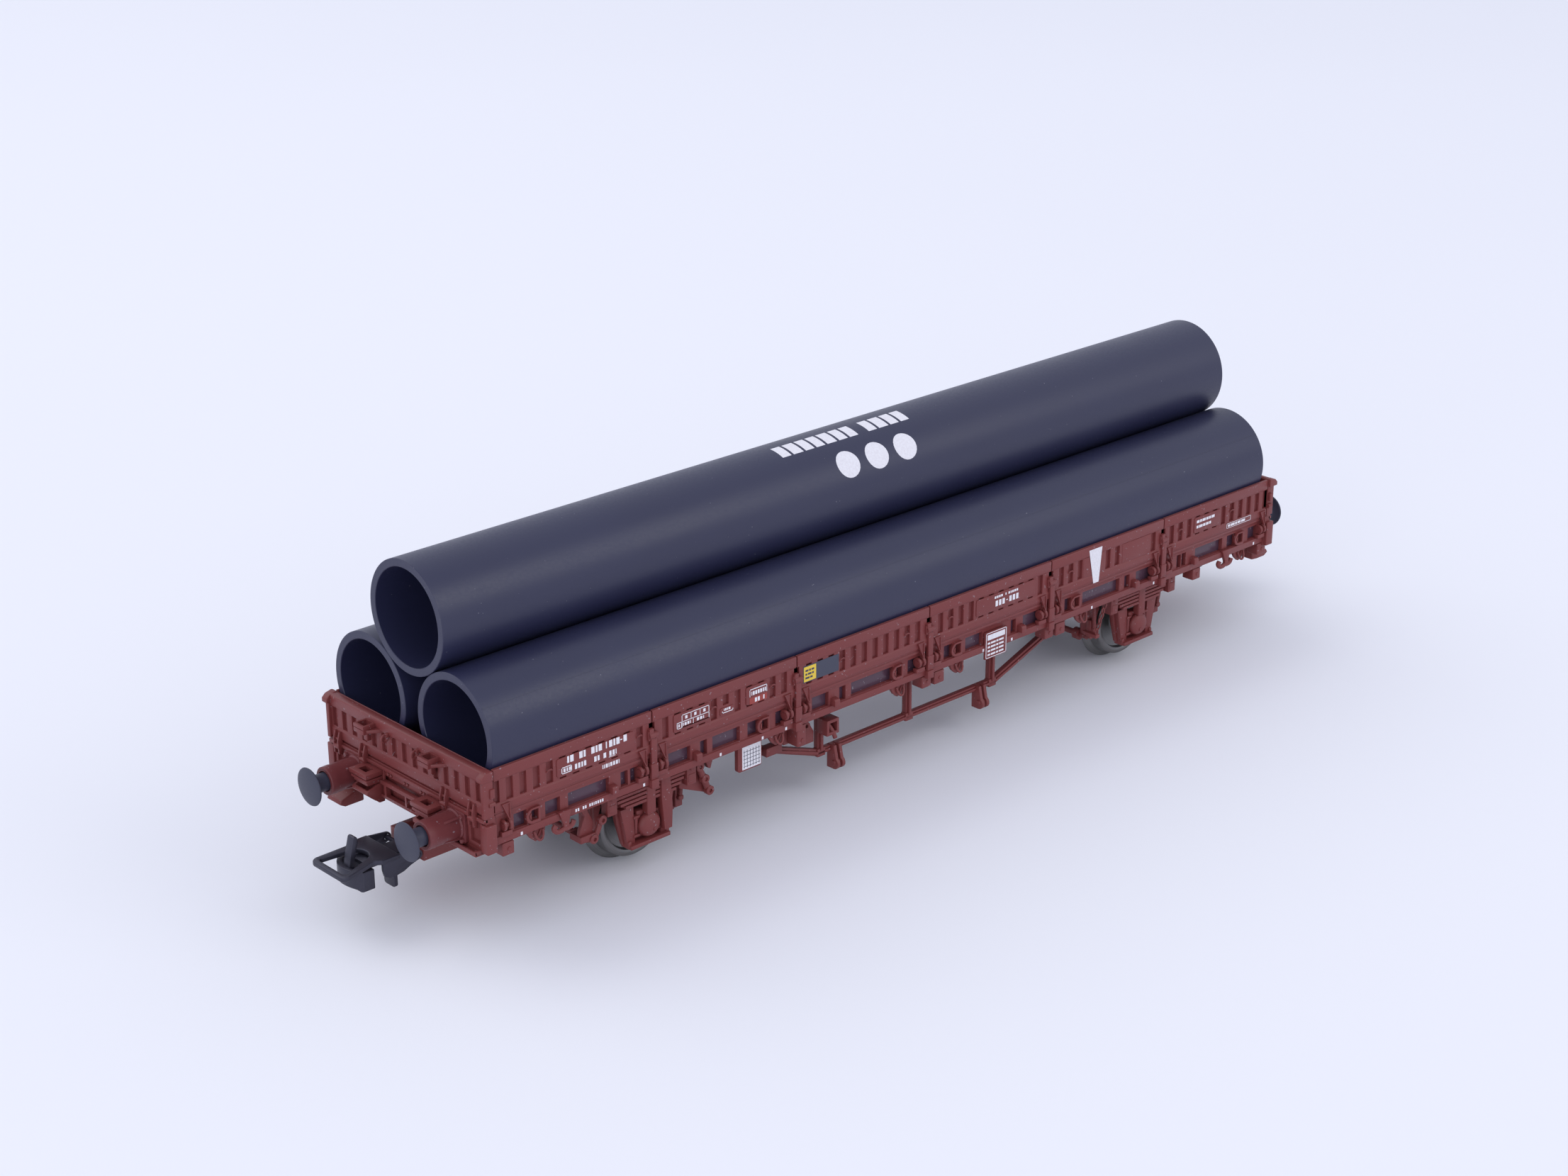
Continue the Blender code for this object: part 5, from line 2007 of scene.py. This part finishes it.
    def build(self) -> None:
        """Build the left frame with its fittings, and the twin."""
        item = bench.join(self.frame(), self.cheeks(-13.7), self.cheeks(13.7))
        self.keep(item, "strut_frame_left", RED_BROWN, "wagon", ("truss_left",))
        boxes = bench.join(self.eye_plate(), self.lever_box(), self.knob_block())
        self.keep(boxes, "lever_boxes_left", RED_BROWN)
        self.keep(self.chain(), "pull_chain_left", RED_BROWN)


@dataclass
class Marks(Assembly):
    """Generic printed marks: blank labels, rows of bars, a wedge, ticks and small frames."""

    thickness: float = 0.022
    rail: float = 15.6
    slats: float = 15.5
    flange: float = 15.4
    board: float = 15.62
    holder: float = 13.85

    def bars(self, corners: Sequence[Patch], face: float) -> Item:
        """Thin rectangles on a face that looks along -Y.

        Args:
            corners: Lower left and upper right corner of each, as (x, z).
            face: How far out the face lies.

        Returns:
            The rectangles in one piece.
        """
        parts = []
        for low, high in corners:
            points = [low, (high[0], low[1]), high, (low[0], high[1])]
            parts.append(bench.outline(points, Plane.SIDE, -face + 0.01, -face - self.thickness))
        return bench.join(*parts)

    def row(self, left: float, low: float, high: float, widths: Sequence[float],
            gap: float = 0.14) -> list[Patch]:
        """Row of bars from the left, each as wide as asked.

        Args:
            left: Where the first bar starts.
            low: Foot of the bars.
            high: Top of the bars.
            widths: Width of each bar.
            gap: Gap between two bars.

        Returns:
            The corners of each bar.
        """
        corners = []
        for width in widths:
            corners.append(((left, low), (left + width, high)))
            left += width + gap
        return corners

    def groups(self, low: float, high: float, gap: float, *words: tuple) -> list[Patch]:
        """Several rows of bars at one height, each given as its left end and its widths."""
        return [bar for left, *widths in words for bar in self.row(left, low, high, widths, gap)]

    def frame_lines(self, low: Point, high: Point, line: float = 0.07) -> list[Patch]:
        """Corners of the four lines of a frame."""
        return [
            (low, (high[0], low[1] + line)), ((low[0], high[1] - line), high),
            (low, (low[0] + line, high[1])), ((high[0] - line, low[1]), high),
        ]

    def first_panel(self) -> list[Patch]:
        """Bars in place of the wagon's number and its lines.

        Returns:
            The corners of each bar.
        """
        marks = self.groups(20.1, 20.95, 0.16, (-60.4, 0.28, 0.5), (-58.6, 0.5, 0.28),
                            (-56.8, 0.5, 0.28, 0.5), (-54.6, 0.16), (-54.1, 0.5, 0.28, 0.5), (-51.9, 0.5))
        marks.append(((-52.4, 20.45), (-52.1, 20.58)))
        marks += self.frame_lines((-61.3, 18.9), (-59.75, 19.75), 0.1)
        marks += self.row(-61.0, 19.1, 19.55, (0.3, 0.2, 0.3), 0.16)
        marks += self.groups(18.95, 19.6, 0.16, (-59.3, 0.32, 0.32, 0.24, 0.32), (-56.4, 0.35, 0.28),
                             (-55.0, 0.4), (-54.1, 0.32, 0.32, 0.12))
        marks.append(((-54.2, 18.8), (-53.2, 18.87)))
        return marks + self.row(-55.2, 17.6, 18.1, (0.12, 0.12, 0.3, 0.12, 0.3, 0.3, 0.3, 0.12), 0.13)

    def second_panel(self) -> list[Patch]:
        """Blank load table and small frames with bars.

        Returns:
            The corners of each bar.
        """
        marks = self.frame_lines((-42.8, 19.0), (-38.4, 20.7), 0.08)
        marks += [((-43.6, 19.0), (-38.4, 19.08)), ((-43.6, 19.0), (-43.5, 19.8))]
        marks.append(((-43.6, 19.75), (-38.4, 19.83)))
        marks += [((x, 19.8), (x + 0.07, 20.7)) for x in (-41.35, -39.9)]
        marks += [((x, 19.0), (x + 0.07, 19.8)) for x in (-42.9, -41.0)]
        marks += [((x, 20.05), (x + 0.35, 20.45)) for x in (-42.25, -40.8, -39.35)]
        marks += self.groups(19.22, 19.6, 0.14, (-43.35, 0.22), (-42.6, 0.1, 0.3, 0.3, 0.1))
        marks += self.row(-40.4, 19.22, 19.6, (0.35, 0.35, 0.12), 0.16)
        marks += self.row(-36.0, 19.1, 19.4, (0.1, 0.22, 0.12, 0.3), 0.1)
        marks += [((-36.3, 18.82), (-34.5, 18.92)), ((-36.3, 18.82), (-36.2, 19.1))]
        marks += [((-34.6, 18.82), (-34.5, 19.1)), ((-31.75, 19.6), (-31.67, 20.6))]
        marks += [((-31.75, 20.5), (-28.85, 20.6)), ((-28.93, 19.6), (-28.85, 20.6))]
        marks += self.row(-31.45, 19.75, 20.25, (0.1, 0.28, 0.28, 0.28, 0.28, 0.2, 0.2), 0.13)
        return marks + self.groups(18.75, 19.3, 0.14, (-30.9, 0.34, 0.34), (-29.5, 0.2))

    def fourth_panel(self) -> list[Patch]:
        """Two lines of bars.

        Returns:
            The corners of each bar.
        """
        marks = self.groups(20.3, 20.62, 0.12, (12.4, 0.3, 0.3, 0.3, 0.3), (14.5, 0.2),
                            (15.1, 0.3, 0.2, 0.3, 0.3, 0.3))
        marks += self.row(12.6, 19.15, 19.95, (0.45, 0.45, 0.45), 0.22) + self.row(14.7, 19.5, 19.62, (0.3,))
        return marks + self.row(15.3, 19.15, 19.95, (0.45, 0.45, 0.45), 0.22)

    def flange_ticks(self) -> list[Patch]:
        """Ticks and a line of bars along the flange.

        Returns:
            The corners of each.
        """
        places = (-67.4, -48.9, -36.6, -29.6, -25.6, 10.5, 16.1, 32.5, 45.8, 68.6)
        ticks = [((x, 13.12), (x + 0.3, 13.52)) for x in places]
        return ticks + self.groups(13.3, 13.68, 0.12, (-59.3, 0.22, 0.22), (-58.2, 0.22, 0.22),
                                   (-57.2, 0.22, 0.22, 0.1, 0.22, 0.22, 0.22, 0.22))

    def data_table(self) -> list[Patch]:
        """Frame, heading and four lines of bars for the data plate.

        Returns:
            The corners of each.
        """
        marks = self.frame_lines((10.9, 12.0), (14.9, 15.65), 0.09) + [((11.2, 14.6), (14.6, 15.35))]
        for low in (12.35, 12.9, 13.45, 14.0):
            marks += self.row(11.25, low, low + 0.26, (0.5, 0.9, 0.4, 0.9))
        return marks

    def lattice(self) -> list[Patch]:
        """Thin crossing lines for the label in its holder."""
        upright = [((-31.2 + 0.5 * step, 9.15), (-31.14 + 0.5 * step, 11.6)) for step in range(6)]
        return upright + [((-31.3, 9.3 + 0.5 * step), (-28.5, 9.36 + 0.5 * step)) for step in range(5)]

    def build(self) -> None:
        """Build the marks of the left side and their twins."""
        numbered = (
            (1, self.first_panel(), self.rail), (2, self.second_panel(), self.rail + 0.012),
            (4, self.fourth_panel(), self.rail),
            (6, self.groups(20.1, 20.5, 0.14, (54.8, 0.6, 0.4, 0.7, 0.5, 0.4, 0.7))
             + self.groups(19.3, 19.7, 0.14, (54.8, 0.4, 0.8, 0.5, 0.6, 0.4)), self.rail),
        )
        for panel, corners, face in numbered:
            self.keep(self.bars(corners, face), f"marks_panel_left_{panel}", WHITE, count=PANELS)
        text_lines = self.groups(20.1, 20.35, 0.12, (-22.25, 0.5, 0.3, 0.45))
        text_lines += self.groups(19.6, 19.85, 0.12, (-22.25, 0.3, 0.6, 0.3))
        text_lines += self.groups(19.1, 19.35, 0.12, (-22.25, 0.7, 0.4))
        strip = self.frame_lines((61.8, 17.45), (67.4, 18.2), 0.06)
        strip += self.row(62.1, 17.65, 18.0, (0.5, 0.9, 0.4, 0.7, 0.9))
        layers = (
            ("coral_label_left", CORAL, [((-31.75, 18.6), (-28.85, 19.45))], self.rail - 0.008),
            ("slate_label_left", SLATE, [((-22.6, 18.62), (-16.4, 20.9))], self.slats),
            ("yellow_label_left", YELLOW, [((-22.5, 18.75), (-20.4, 20.75))], self.slats + 0.03),
            ("marks_yellow_left", SLATE, text_lines, self.slats + 0.05),
            ("marks_rail_left", WHITE, strip, self.rail),
            ("marks_flange_left", WHITE, self.flange_ticks(), self.flange),
            ("marks_data_plate_left", WHITE, self.data_table(), self.board),
            ("label_blank_left", WHITE, [((-31.5, 8.95), (-28.35, 12.3))], self.holder),
            ("label_lattice_left", SLATE, self.lattice(), self.holder + 0.02),
        )
        for name, finish, corners, face in layers:
            self.keep(self.bars(corners, face), name, finish)
        wedge = [(31.4, 22.1), (34.1, 22.1), (33.6, 17.0), (32.5, 17.0)]
        self.keep(bench.outline(wedge, Plane.SIDE, -15.59, -15.625), "wedge_mark_left", WHITE)
        board = bench.block((10.8, -self.board, 11.9), (15.0, -15.3, 15.75), 0.05)
        self.keep(board, "data_plate_left", RED_BROWN)


@dataclass
class CarriedOver:
    """Frame nodes that keep their mesh and only get a finish."""

    def build(self) -> None:
        """Put a procedural material on each of them."""
        finishes = {
            "underframe_tray": RED_BROWN, "ballast_weight": BALLAST,
            "coupler_mount_front": RED_BROWN, "coupler_mount_rear": RED_BROWN,
            "axle_front": FRONT_WHEELS, "axle_rear": REAR_WHEELS,
        }
        for name, finish in finishes.items():
            for slot in frame["nodes"][name].material_slots:
                slot.material = material_of(finish)


@dataclass
class Studio:
    """Pale table, soft lights and the camera."""

    camera_place: Corner = (-0.236053, -0.241033, 0.156317)
    azimuth: float = -0.7503
    elevation: float = 0.3821
    roll: float = -0.0033
    lens: float = 62.28
    half_floor: float = 3.0
    table_dark: Colour = (0.82, 0.82, 0.86)
    table_light: Colour = (0.85, 0.85, 0.89)
    sky_colour: Colour = (0.85, 0.89, 1.03)
    sky_strength: float = 0.88

    LIGHTS = (
        ("key_light", (-0.25, 0.75, 0.95), (0.0, 0.0, 0.02), 0.9, 3.1, (0.98, 0.97, 0.95)),
        ("front_light", (0.55, -0.9, 0.7), (0.0, 0.0, 0.02), 0.7, 2.6, (0.98, 0.97, 0.95)),
        ("fill_light", (-1.0, -0.5, 0.42), (0.0, 0.0, 0.01), 0.8, 2.4, (0.96, 0.97, 1.0)),
    )

    def floor(self) -> None:
        """Lay the table."""
        bpy.ops.object.select_all(action="DESELECT")
        bpy.ops.mesh.primitive_plane_add(size=2 * self.half_floor, location=(0.0, 0.0, 0.0))
        item = bpy.context.object
        item.name = "table"
        sheet = Sheet("table_top")
        cloud = sheet.noise(sheet.place(), 3.0, 2.0)
        colour = sheet.blend(cloud, self.table_dark, self.table_light)
        item.data.materials.append(sheet.finish(Base_Color=colour, Roughness=0.75 + cloud * 0.1))

    def softbox(self, name: str, place: Corner, target: Corner, size: float, power: float,
                colour: Colour) -> None:
        """Hang one square soft light.

        Args:
            name: Name of the light.
            place: Where it hangs, in metres.
            target: What it points at.
            size: Length of its sides.
            power: Power in watts.
            colour: Colour of the light.
        """
        lamp = bpy.data.lights.new(name, "AREA")
        lamp.shape = "SQUARE"
        lamp.size = size
        lamp.energy = power
        lamp.color = colour
        item = bpy.data.objects.new(name, lamp)
        item.location = place
        item.rotation_euler = (Vector(target) - Vector(place)).to_track_quat("-Z", "Y").to_euler()
        bpy.context.scene.collection.objects.link(item)

    def sky(self) -> None:
        """Fill the room with even, slightly blue light."""
        world = bpy.data.worlds.new("room")
        world.use_nodes = True
        back = world.node_tree.nodes["Background"]
        back.inputs["Color"].default_value = (*self.sky_colour, 1.0)
        back.inputs["Strength"].default_value = self.sky_strength
        bpy.context.scene.world = world

    def camera(self) -> None:
        """Set the camera."""
        lens = bpy.data.cameras.new("camera")
        lens.lens = self.lens
        lens.sensor_width = 36.0
        lens.clip_start = 0.01
        lens.clip_end = 20.0
        item = bpy.data.objects.new("camera", lens)
        a, e, r = self.azimuth, self.elevation, self.roll
        ahead = Vector((-math.sin(a) * math.cos(e), math.cos(a) * math.cos(e), -math.sin(e)))
        right = ahead.cross(Vector((0.0, 0.0, 1.0))).normalized()
        up = right.cross(ahead)
        across = math.cos(r) * right + math.sin(r) * up
        above = -math.sin(r) * right + math.cos(r) * up
        turn = Matrix((across, above, -ahead)).transposed().to_4x4()
        item.matrix_world = Matrix.Translation(self.camera_place) @ turn
        bpy.context.scene.collection.objects.link(item)
        bpy.context.scene.camera = item

    def build(self) -> None:
        """Set up the table, the lights and the camera."""
        self.floor()
        self.sky()
        for light in self.LIGHTS:
            self.softbox(*light)
        self.camera()
        bpy.context.scene.view_settings.view_transform = "Standard"


def main() -> None:
    """Build every sub-assembly in order, then the studio, and log how many objects each one adds."""
    logging.basicConfig(level=logging.INFO, format="%(message)s")
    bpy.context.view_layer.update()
    assemblies = (
        CarriedOver(), Deck(), SoleBars(), DropSides(), EndBoard(), Headstock(), Truss(), RunningGear(),
        BrakeGear(), Wheels(), Buffers(), Coupler(), PipeLoad(), Marks(), Studio(),
    )
    for assembly in assemblies:
        before = len(bpy.data.objects)
        assembly.build()
        log.info("%s done: %d objects", type(assembly).__name__, len(bpy.data.objects) - before)


if __name__ == "__main__":
    main()
